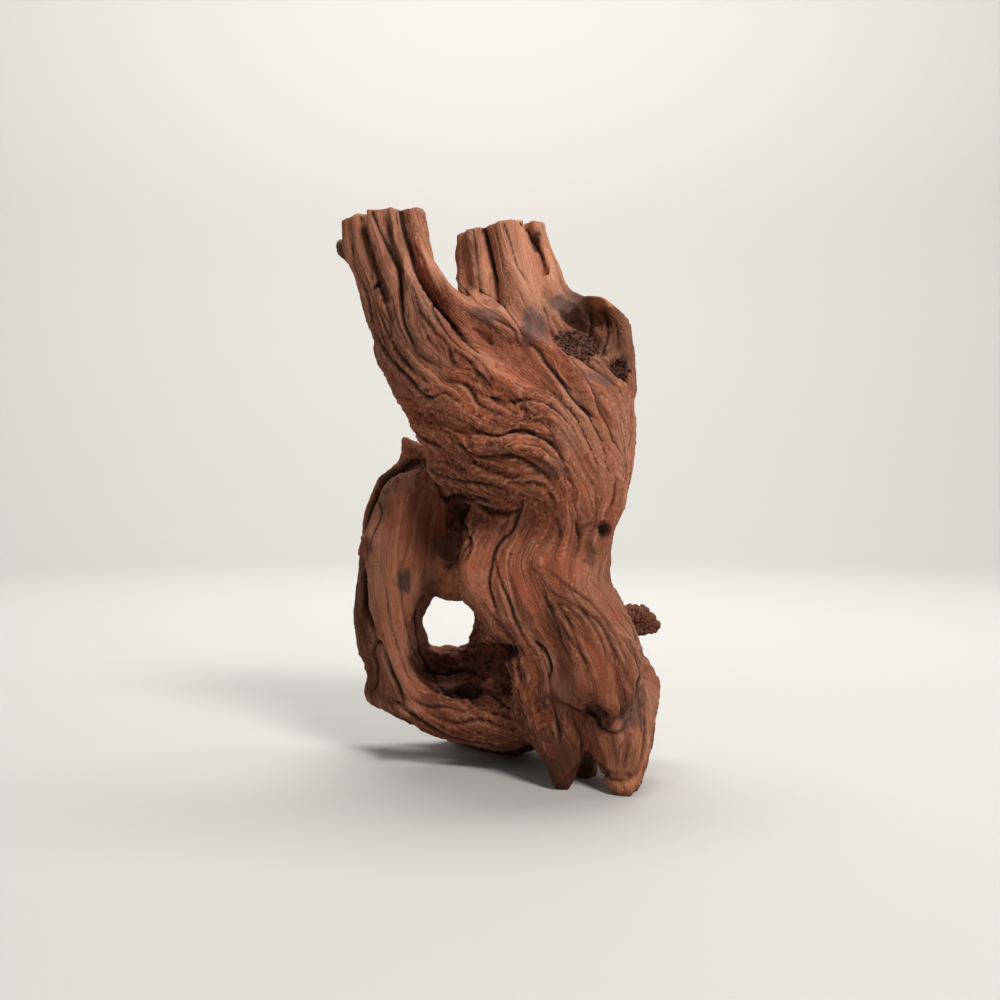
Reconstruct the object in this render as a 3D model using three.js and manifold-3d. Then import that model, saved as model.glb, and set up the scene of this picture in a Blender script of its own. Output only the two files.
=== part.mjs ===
// A piece of driftwood: a weathered, red-brown root crown that stands on its feet.
// Millimetres, +Z up, front towards -Y, origin under the middle of the piece at the surface it stands on.
//
// The wood is grown from strands, as a root is: each strand is a tapering run of fibres with a round
// section, neighbouring strands melt together, and hollows are bitten out of them afterwards. The skin is
// then combed into ridges that follow the fibres and is thinned to a modest number of faces.
import * as THREE from "three";
import Module from "manifold-3d";
import { mergeVertices } from "three/addons/utils/BufferGeometryUtils.js";
import { edgeTable, triTable } from "three/addons/objects/MarchingCubes.js";

// Driving sizes
const eyeHeight = 124; // the front view's eye above the surface
const eyeDistance = 470; // and its distance from the middle of the piece
const cell = 1.8; // edge of the cubes that the skin is found with
const melt = 8; // neighbouring strands melt together over this distance
const biteMelt = 2.5; // softness of a hollow's rim
const strandStep = 4; // length of the straight bits that a strand is measured by
const creaseGain = 1.35; // strength of the listed creases
const seenShare = 0.3; // weight of the back against the front when faces are thinned
const ridgeHeight = 1.4; // ridges between mean surface and crest
const ridgeWidth = 4.6; // spacing of the ridges across the fibres
const ridgeRun = 60; // length over which a ridge keeps its course
const ridgeSteps = 11; // samples to each side along that length
const ridgeGain = 1.7; // sharpness of the crests
const fibreCell = 4; // spacing of the grid that remembers the fibres' direction
const faceCount = 11800; // triangles left after thinning
const seed = 41;

// Strands are listed as [across, up, back, radius]. Across and up are measured on the upright plane through
// the middle of the piece as the eye sees them, and back is the true distance behind that plane.
const wood = {
  // left limb, from above its sawn top down into the shoulder
  leftCore: [
    [-54, 270, 0, 13], [-53, 248, -1, 13.5], [-48, 228, -3, 14], [-41, 211, -5, 16], [-30, 193, -8, 19],
    [-14, 174, -10, 24], [4, 158, -12, 28], [14, 144, -12, 28],
  ],
  leftOuter: [
    [-65, 266, 0, 5.5], [-65.5, 246, -1, 6], [-61, 234, -2, 6], [-57.5, 222, -3, 6.2], [-53.5, 209, -4, 6.5],
    [-48, 191, -6, 7], [-38.5, 173, -9, 7.5], [-29, 155, -12, 8], [-22.5, 140, -15, 7.5],
  ],
  leftSecond: [
    [-57, 268, -9, 5.5], [-52.5, 244, -12, 5.5], [-48, 228, -15, 5.5], [-44, 213, -18, 6],
    [-38, 196, -22, 7], [-28, 181, -26, 8], [-14, 170, -31, 8], [0, 160, -36, 8],
  ],
  leftThird: [
    [-49, 268, -10, 4.2], [-46, 246, -13, 4.6], [-41, 229, -17, 5], [-34, 214, -21, 5.5], [-24, 202, -26, 6],
    [-11, 190, -30, 7], [3, 178, -34, 8],
  ],
  leftInner: [
    [-38.5, 268, -4, 5.5], [-36.5, 247, -6, 5.5], [-33, 235, -9, 5.5],
    [-25, 222.5, -13, 6], [-13.5, 213, -17, 6.5],
    [1, 206, -21, 7], [12, 198, -25, 8], [25, 186, -28, 9], [36, 170, -28, 11],
  ],
  leftBackA: [
    [-60, 266, 11, 6], [-57, 240, 12, 6.5], [-51, 220, 12, 8], [-42, 198, 12, 10], [-30, 176, 12, 12],
    [-20, 158, 12, 13],
  ],
  leftBackB: [
    [-45, 266, 9, 7], [-43, 240, 10, 7], [-37, 222, 9, 8.5], [-24, 203, 8, 11], [-8, 188, 8, 14],
  ],
  leftKnob: [
    [-72.5, 243, 14, 3], [-69.5, 241, 12, 4.5], [-65, 237, 10, 5],
  ],
  // right limb
  rightCore: [
    [5, 268, 10, 14], [6, 240, 9, 15.5], [11, 222, 6, 18],
    [20, 202, 3, 20], [30, 184, 0, 24], [33, 164, -4, 27],
    [32, 142, -8, 29], [30, 122, -3, 25], [29, 104, 0, 22],
    [29, 86, -2, 21], [34, 68, -8, 21], [42, 48, -15, 21],
    [48, 30, -22, 17],
  ],
  rightOuterLeft: [
    [-13.5, 262, 5, 5], [-12.5, 234, 5, 5.5], [-9.5, 222, 2, 6.5], [-4, 209, -1, 7], [4, 196, -4, 9],
  ],
  rightSecond: [
    [-8, 262, -2, 4.5], [-6.5, 236, -3, 5], [-4.5, 222, -6, 5.5], [2, 207, -9, 6.5],
  ],
  rightFront: [
    [4, 264, -3, 7], [6, 238, -5, 7.5], [9.5, 222, -8, 8.5], [15, 207, -12, 9], [23, 194, -17, 9],
    [33, 180, -22, 10], [41, 165, -25, 11],
  ],
  rightFourth: [
    [11, 262, 0, 5.5], [15, 236, -1, 7], [20, 222, -4, 8], [26, 208, -7, 8], [36, 190, -12, 9],
  ],
  rightOuter: [
    [14, 262, 8, 4.2], [18.2, 246, 7, 4.6], [22.6, 237, 6.5, 4.8], [26.6, 227.5, 6, 5], [30, 219, 5, 5.5],
    [34, 205, 4, 8], [42, 190, 3, 10],
  ],
  rightBackA: [
    [-5, 262, 16, 7.5], [-2, 230, 17, 9], [2, 210, 16, 11], [8, 190, 16, 14], [10, 170, 16, 16],
  ],
  rightBackB: [
    [10, 262, 18, 7.5], [15, 230, 19, 9], [21, 208, 18, 12], [29, 188, 17, 15], [30, 168, 14, 18],
  ],
  // burl on the right, a rim curled round a hollow
  burlTop: [
    [36, 213, 4, 5], [43, 214.5, 6, 4.5], [49, 213.5, 8, 5.5], [55, 207.5, 9, 6], [58.5, 199, 9, 6],
    [59.5, 188, 8, 6], [58.5, 177, 6, 6.5],
  ],
  burlLow: [
    [26, 196, -16, 6], [36, 188, -19, 6], [46, 179, -19, 6.5], [54, 170, -14, 7], [56, 158, -10, 8],
  ],
  burlBack: [
    [36, 203, 15, 9], [45, 200, 16, 9], [50, 188, 16, 11], [48, 170, 12, 13], [46, 150, 8, 14],
  ],
  // shoulder and waist
  coreLeft: [
    [-10, 160, 0, 20], [-4, 148, 2, 21], [3, 132, 4, 20], [7, 114, 4, 19], [8, 98, 4, 17], [11, 82, 4, 15],
    [20, 62, 2, 15], [28, 42, -3, 16], [30, 26, -8, 14],
  ],
  shoulderFront: [
    [4, 164, -22, 17], [18, 150, -24, 19], [28, 138, -20, 19],
  ],
  shoulderLip: [
    [-22, 140, -16, 7.5], [-14, 137.5, -24, 8], [-3, 137, -32, 8], [8, 134, -36, 8], [18, 130.5, -36, 7.5],
    [27, 128, -33, 7.5],
  ],
  shoulderLow: [
    [-24, 160, -22, 8], [-8, 152, -31, 9], [10, 148, -37, 9], [26, 143, -37, 9], [39, 131, -31, 9],
    [46, 118, -23, 8.5],
  ],
  shoulderMid: [
    [0, 176, -34, 8], [16, 166, -37, 9], [30, 155, -36, 9.5], [43, 140, -31, 9.5], [49.5, 124, -22, 8.5],
  ],
  shoulderHigh: [
    [24, 186, -29, 8], [37, 172, -31, 9], [48, 154, -27, 9.5], [53, 137, -20, 9],
  ],
  trunkRight: [
    [58.5, 178, -2, 6.5], [57, 164, -3, 7], [57.5, 150, -4, 7], [57, 138, -4, 7], [54, 128, -4, 7],
    [49, 117, -4, 7], [46, 107, -4, 7], [45.5, 97, -4, 7], [42.5, 86, -4, 7], [42, 76, -6, 7.5],
  ],
  // front of the waist, runs that part above the hole and gather on the foot
  waistLeft: [
    [3, 122, -17, 7], [-7, 104, -18, 7], [-11, 90, -16, 7], [-8, 78, -14, 6.5], [-3, 68, -15, 6.5],
    [5, 58, -18, 6.5], [14, 47, -21, 6], [16, 36, -22, 6], [14, 22, -20, 7.5],
  ],
  waistMiddle: [
    [14, 120, -20, 7.5], [5, 101, -21, 7.5], [2, 88, -21, 7.5], [6, 73, -22, 7.5], [16, 57, -25, 7.5],
    [22, 38, -27, 8.5], [23, 18, -27, 9],
  ],
  waistRight: [
    [26, 120, -20, 7.5], [17, 100, -23, 7.5], [14, 84, -25, 7.5], [20, 68, -28, 8.5], [28, 50, -31, 9],
    [31, 32, -32, 9.5], [30, 16, -31, 9],
  ],
  waistFar: [
    [43, 114, -16, 7.5], [37, 98, -19, 8], [30, 88, -24, 8], [34, 76, -28, 8],
  ],
  shoulderEnd: [
    [34, 140, -30, 11], [39, 126, -26, 11], [41, 112, -19, 11], [38, 98, -15, 11],
  ],
  shoulderEndInner: [
    [24, 134, -33, 8], [28, 124, -31, 8], [28, 112, -26, 8], [24, 98, -24, 8],
  ],
  // draped lobes over the foot
  drapeLeft: [
    [22, 93, -27, 6], [32, 78, -35, 7], [41, 62, -42, 8], [44, 48, -47, 8], [43, 37, -48, 6.5],
  ],
  drapeMiddle: [
    [30, 92, -24, 6], [42, 78, -33, 7.5], [51, 62, -41, 8], [56, 47, -46, 7.5], [55, 34, -50, 5.5],
    [53.5, 26, -51, 3.6],
  ],
  drapeRight: [
    [38, 86, -16, 6], [47, 76, -23, 6.5], [55, 64, -31, 7], [60, 50, -37, 6.5], [61.5, 39, -43, 4.5],
    [61.5, 32, -46, 3],
  ],
  drapeCore: [
    [34, 80, -12, 16], [44, 62, -19, 17], [49, 44, -25, 17], [50, 26, -28, 15],
  ],
  // front foot, a blunt horn
  footMain: [
    [56, 24, -31, 13.5], [58, 10, -39, 12], [58.5, -2, -44, 9], [58.7, -10, -47, 6], [58.7, -17, -48, 4],
  ],
  footFlank: [
    [62, 46, -14, 6], [67.5, 36, -18, 5.5], [69, 24, -26, 5.5], [68, 10, -34, 4.6], [66, 0, -40, 3.8],
    [63.8, -9, -44, 3],
  ],
  flankUpper: [
    [56, 60, -8, 7], [62, 50, -12, 6.5], [68.5, 42.5, -14, 5], [70.5, 36, -15, 4.6], [71, 28, -18, 4],
  ],
  // second foot, a tooth
  tooth: [
    [28, 15, -32, 9], [31, 3, -37, 7.6], [31.5, -5, -40, 5.6], [30.5, -15, -41, 3],
  ],
  toothBack: [
    [37, 10, -22, 8], [41, 0, -20, 6], [42, -8, -19, 4],
  ],
  // bark-skinned stub behind the right side
  stubRoot: [
    [44, 64, 8, 6], [53, 65, 12, 5], [60, 62, 12, 4],
  ],
  stub: [
    [55, 66.5, 14, 4.4], [63, 68.5, 18, 6], [67.5, 68.3, 18, 5.8],
    [71.5, 66.5, 18, 3.8], [74.5, 65.5, 18, 1.8],
  ],
  // left side: a smooth blade that narrows to a strut and runs round under the hole
  bladeCore: [
    [-36, 131, 14, 9], [-40, 118, 12, 13], [-42, 104, 11, 13.5], [-45, 90, 9, 11], [-48, 74, 6, 8],
  ],
  bladeA: [
    [-34, 133, 4, 6], [-40, 120, 4, 8], [-43, 106, 3, 9], [-46, 93, 2, 8.8], [-48, 80, 1, 8],
    [-49, 66, 1, 7.2], [-47.5, 52, 0, 6.6], [-43, 39, -1, 6.3], [-35, 29.5, -3, 6.6], [-24, 23, -5, 7.8],
    [-10, 20, -7, 9.8], [6, 18.5, -10, 12],
  ],
  bladeB: [
    [-45, 129, 10, 6], [-50.5, 117, 11, 7], [-53.5, 104, 10, 7], [-54, 92, 8, 6.5], [-52.5, 78, 5, 5.5],
  ],
  bladeC: [
    [-24, 131, 9, 7], [-28, 116, 9, 9], [-30, 101, 9, 9], [-25, 91, 8, 8.5], [-12, 89, 4, 8],
  ],
  bladeSpur: [
    [-60, 104, 8, 3.2], [-64, 99, 10, 2.4], [-65.5, 107, 10, 1.5],
  ],
  toe: [
    [-42, 24.3, -4, 2.4], [-36, 21.5, -4, 5], [-26, 19.5, 0, 7.6], [-12, 19, 4, 10], [2, 18, 4, 12],
  ],
  // back of the left side, one wall with the blade and a groove between them
  wallFill: [
    [-42, 120, 22, 12], [-45, 104, 23, 13], [-47, 88, 22, 11],
    [-48, 72, 20, 8.5], [-47, 56, 20, 8], [-42, 42, 18, 8],
  ],
  backStrut: [
    [-38, 140, 28, 6], [-47.5, 134, 32, 6], [-54.5, 122, 34, 6.5], [-57, 106, 36, 6.5], [-59, 90, 38, 6.5],
    [-60.8, 76, 38, 6.2], [-59.5, 62, 38, 6.5], [-56, 48, 38, 6.5], [-52.5, 38, 36, 6.5], [-47, 33, 34, 7],
  ],
  backBlade: [
    [-36, 132, 30, 9], [-43, 114, 33, 11], [-46, 96, 35, 11],
    [-48, 78, 36, 9.5], [-48, 62, 36, 9], [-45, 46, 36, 9],
  ],
  holeLeftWall: [
    [-33, 100, 28, 11], [-37, 84, 30, 7], [-39, 72, 31, 5.5], [-38.5, 60, 31, 6], [-35, 50, 33, 6.5],
  ],
  leftFootKnob: [
    [-55.3, 33, 34, 4.8], [-49.5, 32, 32, 6.2], [-40, 30, 30, 7.5],
  ],
  tongue: [
    [-44.5, 152, 24, 2.8], [-42, 149.5, 24, 4.4], [-35, 144, 24, 5.5], [-24, 138, 20, 8],
  ],
  bridgeHigh: [
    [-30, 130, 24, 12], [-20, 118, 22, 15], [-8, 106, 18, 17], [6, 98, 14, 16],
  ],
  bridgeLow: [
    [-34, 95, 20, 10], [-22, 92.5, 19, 12], [-8, 91, 15, 13],
  ],
  // basin under the hole
  basinRim: [
    [-52, 44, 38, 5.5], [-42, 49.5, 40, 5.5], [-30, 50.5, 41, 5.5], [-18, 51, 40, 6], [-6, 53, 36, 7],
    [6, 60, 28, 10],
  ],
  basinBack: [
    [-50, 35, 36, 7], [-36, 38, 40, 8.5], [-20, 38, 41, 9], [-4, 38, 37, 11], [12, 42, 26, 14],
  ],
  basinLow: [
    [-42, 32, 28, 7], [-34, 28.5, 30, 10], [-18, 25, 30, 13.2], [0, 22, 26, 14.5], [14, 23, 16, 16],
    [28, 22, 2, 15],
  ],
  // low ridge that the piece rests on behind
  keel: [
    [-21, 24, 43, 5], [-16.5, 17.6, 40, 8], [-10, 17.4, 35, 9.5], [-3, 17.6, 29, 11], [8, 19, 20, 13],
  ],
  basinLump: [
    [-6, 40, 12, 5], [2, 38, 8, 7], [9, 30, 4, 9],
  ],
  // back of the crown, out of the front view
  backSpine: [
    [14, 190, 22, 10], [18, 170, 22, 14], [20, 146, 22, 17],
    [20, 120, 21, 17], [24, 92, 20, 15], [33, 62, 20, 13],
    [42, 32, 22, 11], [48, 10, 24, 8.5], [50, -2, 25, 6.5],
  ],
  backSpineLeft: [
    [-18, 178, 12, 10], [-14, 156, 16, 13], [-8, 134, 18, 15],
    [-2, 112, 20, 15], [0, 88, 22, 13], [0, 64, 27, 12.5],
    [-4, 40, 32, 12],
  ],
  backFlank: [
    [44, 150, 10, 14], [40, 124, 10, 14], [36, 98, 10, 12],
    [35, 80, 10, 11.5], [40, 62, 8, 12], [50, 44, 6, 13],
    [54, 22, 8, 11], [53, 8, 14, 8],
  ],
};

// Hollows, listed the same way.
const hollows = {
  burlCup: [
    [37, 208, -14, 6], [40.5, 202, -7, 9], [42.5, 196, -3, 9.5], [44, 188, -5, 7],
  ],
  burlPit: [
    [55, 184, -12, 3.5], [56, 180, -8, 4],
  ],
  leftGroove: [
    [-44, 274, -13, 3.6], [-42, 250, -15, 4], [-37.5, 235, -17, 3.8], [-32, 223, -20, 3.2],
    [-23.5, 211, -25, 2.6], [-14, 201, -32, 1.8],
  ],
  leftGrooveThin: [
    [-54, 272, -15, 1.6], [-51, 250, -17, 2], [-46, 233, -20, 2], [-44, 218, -23, 1.6],
  ],
  leftGrooveWide: [
    [-63, 270, -11, 2.6], [-60.5, 248, -12, 3], [-56, 234, -14, 3], [-50, 218, -18, 2],
  ],
  rightGroove: [
    [-6, 266, -8, 2.6], [-3, 240, -9, 3], [-1, 226, -12, 2.8], [1, 213, -16, 2],
  ],
  rightNotch: [
    [12, 264, -2, 2.6], [16, 248, -3, 3], [20, 237, -4, 3], [23, 226, -7, 1.8],
  ],
  underLip: [
    [-22, 124, -32, 5], [-9, 123, -39, 5.5], [4, 121, -42, 4.6], [13, 119, -42, 2.6],
  ],
  behindBlade: [
    [-34, 140, 14, 4.4], [-45, 139, 18, 5.6], [-56, 134, 21, 5.4], [-60, 120, 23, 4.4], [-62.5, 104, 24, 5.2],
    [-63, 88, 23, 6.8], [-62, 74, 22, 8.4], [-60, 60, 20, 9.4], [-57, 46, 17, 8],
  ],
  bladeShade: [
    [-21, 128, -10, 6], [-18, 113, -3, 9.5], [-19, 103, -1, 8.5],
  ],
  drapeValley: [
    [19, 66, -38, 2.4], [22, 54, -42, 3.4], [24.5, 42, -44, 4], [25.5, 30, -44, 3.4],
  ],
  throughHole: [
    [-22, 66, -30, 14], [-22, 66.2, 0, 11], [-21.6, 66.4, 20, 10.2], [-21.6, 66.8, 60, 11.5],
  ],
  throughHoleLeft: [
    [-33, 66, -6, 8], [-31, 66, 12, 7.5], [-27, 66, 26, 7],
  ],
  basinHollow: [
    [-14, 46, -30, 12], [-14, 46, -10, 13], [-12, 46, 6, 12], [-4, 46, 12, 8],
  ],
  basinHollowLeft: [
    [-33, 46, -12, 7], [-34, 48, 8, 8], [-32, 49, 22, 7],
  ],
  basinDark: [
    [1, 53, 0, 6], [6, 52, 10, 7],
  ],
  drapeShade: [
    [37, 29, -49, 3], [42, 26.5, -51, 4], [47, 25.5, -50, 4.2], [50.5, 28, -47, 3],
  ],
  drapeSlit: [
    [59, 40, -50, 1], [58.5, 33, -51, 1.8], [58.5, 27, -50, 2],
  ],
  backHollow: [
    [6, 160, 46, 3], [8, 140, 46, 6], [10, 118, 46, 7.5], [12, 94, 44, 8], [16, 68, 42, 8], [20, 46, 42, 6],
  ],
  backHollowHigh: [
    [-2, 232, 30, 3], [-5, 212, 30, 5], [-4, 192, 32, 5], [0, 172, 36, 4], [2, 150, 38, 3],
  ],
};

// Saw cuts through the limbs' tops: [across, up, back] on the cut, the way it faces, and how far it reaches.
const sawCuts = [
  { at: [-52, 257.4, 0], facing: [-0.12, -0.05, 1], reach: 34 },
  { at: [2, 252, 4], facing: [-0.14, -0.08, 1], reach: 30 },
  { at: [-14, 249.3, 4], facing: [-0.5, -0.08, 1], reach: 12 },
];

// Cracks and crests that stand out on the front: how deep (a crest is negative), how wide to each side, how
// far back the wood may lie that they mark, and the [across, up] points they run through.
const creases = [
  // left limb
  {
    deep: 2.6, wide: 4, behind: 8,
    line: [[-45, 259], [-43, 244], [-39, 236], [-34, 226], [-28, 217], [-21, 208], [-14, 199], [-9, 194]],
  },
  {
    deep: 1.4, wide: 3.2, behind: 8,
    line: [[-57, 258], [-54, 248], [-49, 238], [-46, 228], [-45, 218], [-42, 206], [-36, 194], [-26, 186]],
  },
  {
    deep: 1.6, wide: 4, behind: 8,
    line: [[-65, 258], [-61, 246], [-57, 236], [-52, 228], [-48, 218]],
  },
  {
    deep: -1.5, wide: 3.4, behind: 5,
    line: [[-40, 228], [-37, 218], [-31, 206], [-24, 197], [-20, 188], [-17, 183]],
  },
  {
    deep: -1.5, wide: 3.4, behind: 5,
    line: [[-29, 214], [-25, 205], [-18, 197], [-9, 191], [-3, 182]],
  },
  {
    deep: 1.6, wide: 3.2, behind: 5,
    line: [[-52, 208], [-45, 194], [-36, 184], [-25, 180], [-15, 179], [-10, 172], [-6, 168], [1, 164]],
  },
  {
    deep: -1.4, wide: 3.6, behind: 5,
    line: [[-56, 196], [-48, 186], [-38, 176], [-28, 171], [-18, 172]],
  },
  {
    deep: 1.3, wide: 3.4, behind: 5,
    line: [[-42, 178], [-34, 168], [-26, 160], [-14, 157], [-4, 155]],
  },
  // shoulder
  {
    deep: 1.5, wide: 3.2, behind: 5,
    line: [[-10, 176], [-3, 171], [6, 170], [18, 171], [29, 166], [38, 156], [45, 146]],
  },
  {
    deep: 1.8, wide: 3.2, behind: 5,
    line: [[-14, 160], [-7, 156], [2, 154], [10, 156], [18, 155], [26, 150], [32, 142], [35, 133]],
  },
  {
    deep: -1.3, wide: 3.4, behind: 5,
    line: [[-12, 152], [0, 149], [10, 149], [20, 145], [27, 137], [29, 130]],
  },
  {
    deep: 1.5, wide: 3.2, behind: 5,
    line: [[-8, 144], [2, 145], [11, 144], [18, 140], [24, 134], [27, 129]],
  },
  {
    deep: 1.8, wide: 3.2, behind: 8,
    line: [[13, 199], [18, 196], [23, 189], [28, 182], [34, 177], [40, 168], [46, 160], [52, 148]],
  },
  {
    deep: 1.4, wide: 3.2, behind: 8,
    line: [[44, 180], [49, 168], [55, 156], [60, 145]],
  },
  {
    deep: -1.2, wide: 3.4, behind: 5,
    line: [[36, 184], [43, 172], [49, 160], [54, 148], [56, 136]],
  },
  // right limb
  {
    deep: 2.2, wide: 3.6, behind: 12,
    line: [[-7, 255], [-4, 246], [-2, 236], [0, 226], [1, 216]],
  },
  {
    deep: 1.4, wide: 3, behind: 12,
    line: [[-12, 253], [-10, 242], [-9, 230], [-7, 220]],
  },
  {
    deep: 2, wide: 3.4, behind: 12,
    line: [[12, 255], [17, 248], [20, 239], [23, 230], [25, 220]],
  },
  // waist
  {
    deep: 2.2, wide: 3.2, behind: 5,
    line: [[12, 124], [10, 116], [6, 109], [1, 102], [-2, 94], [-3, 84], [-1, 76], [1, 71]],
  },
  {
    deep: -1.4, wide: 3.4, behind: 5,
    line: [[-6, 112], [-11, 104], [-13, 96], [-12, 88], [-8, 80], [-3, 73], [3, 66]],
  },
  {
    deep: 1.8, wide: 3.4, behind: 5,
    line: [[1, 98], [3, 88], [7, 77], [12, 68], [17, 61], [23, 52]],
  },
  {
    deep: -1.4, wide: 3.6, behind: 5,
    line: [[8, 66], [12, 56], [15, 46], [15, 36], [14, 28]],
  },
  {
    deep: 1.5, wide: 3.2, behind: 5,
    line: [[19, 58], [23, 50], [26, 42], [25, 30], [24, 20]],
  },
  // draped lobes and foot
  {
    deep: 1.8, wide: 3.4, behind: 0,
    line: [[24, 90], [30, 82], [38, 76], [46, 68], [52, 58], [55, 48]],
  },
  {
    deep: 1.6, wide: 3.2, behind: 0,
    line: [[34, 92], [42, 83], [50, 76], [57, 67], [62, 56]],
  },
  {
    deep: -1.4, wide: 3.4, behind: 0,
    line: [[28, 88], [35, 79], [44, 72], [49, 62], [52, 50], [52, 38]],
  },
  {
    deep: 1.3, wide: 3, behind: 0,
    line: [[40, 60], [46, 50], [48, 40], [47, 32]],
  },
  {
    deep: 1.4, wide: 3.2, behind: -10,
    line: [[66, 34], [67, 20], [67, 8], [65, -6]],
  },
  {
    deep: 1.2, wide: 3, behind: -10,
    line: [[53, 14], [55, 2], [57, -8]],
  },
  // blade and strut
  {
    deep: -1.2, wide: 3.6, behind: 12,
    line: [[-44, 128], [-47, 112], [-48, 96], [-50, 82], [-53, 72]],
  },
  {
    deep: 1.3, wide: 3.4, behind: 12,
    line: [[-30, 132], [-33, 118], [-36, 104], [-38, 92]],
  },
];

const grow = new THREE.Vector3();

// A listed point moved from the middle plane to its true place along the eye's line of sight.
function place([across, up, back]) {
  const reach = 1 + back / eyeDistance;
  return new THREE.Vector3(across * reach, back, eyeHeight + (up - eyeHeight) * reach);
}

// A strand as short straight bits of changing radius: [x, y, z, radius] for each joint between them.
function joints(points) {
  const curve = new THREE.CatmullRomCurve3(points.map(place), false, "centripetal");
  const spans = points.length - 1;
  const count = Math.max(spans, Math.ceil(curve.getLength() / strandStep));
  return Array.from({ length: count + 1 }, (_, i) => {
    const t = i / count;
    const span = Math.min(spans - 1, Math.floor(t * spans));
    const radius = THREE.MathUtils.lerp(points[span][3], points[span + 1][3], t * spans - span);
    return [...curve.getPoint(t, grow).toArray(), radius];
  });
}

const strands = Object.values(wood).map(joints);
const bites = Object.values(hollows).map(joints);

// Distance from a point to a strand's skin, negative inside. Keeps the bit that was nearest.
const nearest = { bit: 0 };
function strandDistance(line, x, y, z) {
  let best = Infinity;
  for (let i = 1; i < line.length; i++) {
    const a = line[i - 1];
    const b = line[i];
    const dx = b[0] - a[0], dy = b[1] - a[1], dz = b[2] - a[2];
    const along = ((x - a[0]) * dx + (y - a[1]) * dy + (z - a[2]) * dz) / (dx * dx + dy * dy + dz * dz);
    const t = along < 0 ? 0 : along > 1 ? 1 : along;
    const toMiddle = Math.hypot(x - a[0] - t * dx, y - a[1] - t * dy, z - a[2] - t * dz);
    const distance = toMiddle - a[3] - t * (b[3] - a[3]);
    if (distance < best) {
      best = distance;
      nearest.bit = i;
    }
  }
  return best;
}

// The smaller of two distances, rounded off where they are alike.
function softMin(a, b, width) {
  const overlap = Math.max(width - Math.abs(a - b), 0) / width;
  return Math.min(a, b) - overlap * overlap * width / 4;
}

// A regular grid of numbers over the whole piece.
class Grid {
  constructor(step, low, high, width = 1) {
    this.step = step;
    this.low = low;
    this.width = width;
    this.size = low.map((v, i) => Math.ceil((high[i] - v) / step) + 1);
    this.values = new Float32Array(this.size[0] * this.size[1] * this.size[2] * width);
  }

  index(i, j, k) {
    return (k * this.size[1] + j) * this.size[0] + i;
  }

  // Calls visit(index, x, y, z) for each grid point within reach of a line of joints.
  around(line, reach, visit) {
    const range = [0, 1, 2].map((axis) => {
      const low = Math.min(...line.map((p) => p[axis] - p[3])) - reach;
      const high = Math.max(...line.map((p) => p[axis] + p[3])) + reach;
      return [
        Math.max(0, Math.floor((low - this.low[axis]) / this.step)),
        Math.min(this.size[axis] - 1, Math.ceil((high - this.low[axis]) / this.step)),
      ];
    });
    for (let k = range[2][0]; k <= range[2][1]; k++)
      for (let j = range[1][0]; j <= range[1][1]; j++)
        for (let i = range[0][0]; i <= range[0][1]; i++)
          visit(this.index(i, j, k), ...this.point(i, j, k));
  }

  point(i, j, k) {
    return [this.low[0] + i * this.step, this.low[1] + j * this.step, this.low[2] + k * this.step];
  }
}

function extent(lines) {
  const low = [0, 1, 2].map((axis) => Math.min(...lines.flat().map((p) => p[axis] - p[3])) - 3 * cell);
  const high = [0, 1, 2].map((axis) => Math.max(...lines.flat().map((p) => p[axis] + p[3])) + 3 * cell);
  return [low, high];
}

// The distance to the skin at every grid point: the strands melted together, less the hollows.
function growWood() {
  const grid = new Grid(cell, ...extent(strands));
  const { values } = grid;
  values.fill(melt * 4);
  for (const line of strands)
    grid.around(line, melt + 2 * cell, (at, x, y, z) => {
      values[at] = softMin(values[at], strandDistance(line, x, y, z), melt);
    });
  for (const line of bites)
    grid.around(line, biteMelt + 2 * cell, (at, x, y, z) => {
      values[at] = -softMin(-values[at], strandDistance(line, x, y, z), biteMelt);
    });
  for (const { at: spot, facing, reach } of sawCuts) {
    const centre = place(spot);
    const way = new THREE.Vector3(...facing).normalize();
    grid.around([[...centre.toArray(), 0]], reach, (at, x, y, z) => {
      grow.set(x, y, z).sub(centre);
      if (grow.length() < reach) values[at] = Math.max(values[at], grow.dot(way));
    });
  }
  return grid;
}

// Corners of a cube and the ends of its twelve edges, in the order of the marching cubes tables.
const corners = [[0, 0, 0], [1, 0, 0], [1, 1, 0], [0, 1, 0], [0, 0, 1], [1, 0, 1], [1, 1, 1], [0, 1, 1]];
const edges = [
  [0, 1], [1, 2], [3, 2], [0, 3], [4, 5], [5, 6], [7, 6], [4, 7], [0, 4], [1, 5], [2, 6], [3, 7],
];

// The zero surface of a grid as shared points and triangles.
function skinOf(grid) {
  const { values, size } = grid;
  const points = [];
  const faces = [];
  const known = new Map();
  const cornerAt = (i, j, k, c) => grid.index(i + corners[c][0], j + corners[c][1], k + corners[c][2]);
  const crossing = (i, j, k, edge) => {
    const [a, b] = edges[edge];
    const at = cornerAt(i, j, k, a);
    const axis = [0, 1, 2].find((n) => corners[a][n] !== corners[b][n]);
    const key = at * 3 + axis;
    if (!known.has(key)) {
      const here = values[at];
      const share = here / (here - values[cornerAt(i, j, k, b)]);
      const point = grid.point(i + corners[a][0], j + corners[a][1], k + corners[a][2]);
      point[axis] += THREE.MathUtils.clamp(share, 0.05, 0.95) * grid.step;
      known.set(key, points.length);
      points.push(point);
    }
    return known.get(key);
  };
  for (let k = 0; k < size[2] - 1; k++)
    for (let j = 0; j < size[1] - 1; j++)
      for (let i = 0; i < size[0] - 1; i++) {
        let inside = 0;
        for (let c = 0; c < 8; c++) if (values[cornerAt(i, j, k, c)] < 0) inside |= 1 << c;
        if (!edgeTable[inside]) continue;
        for (let n = inside * 16; triTable[n] !== -1; n += 3)
          faces.push([0, 2, 1].map((turn) => crossing(i, j, k, triTable[n + turn])));
      }
  return { points, faces };
}

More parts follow.
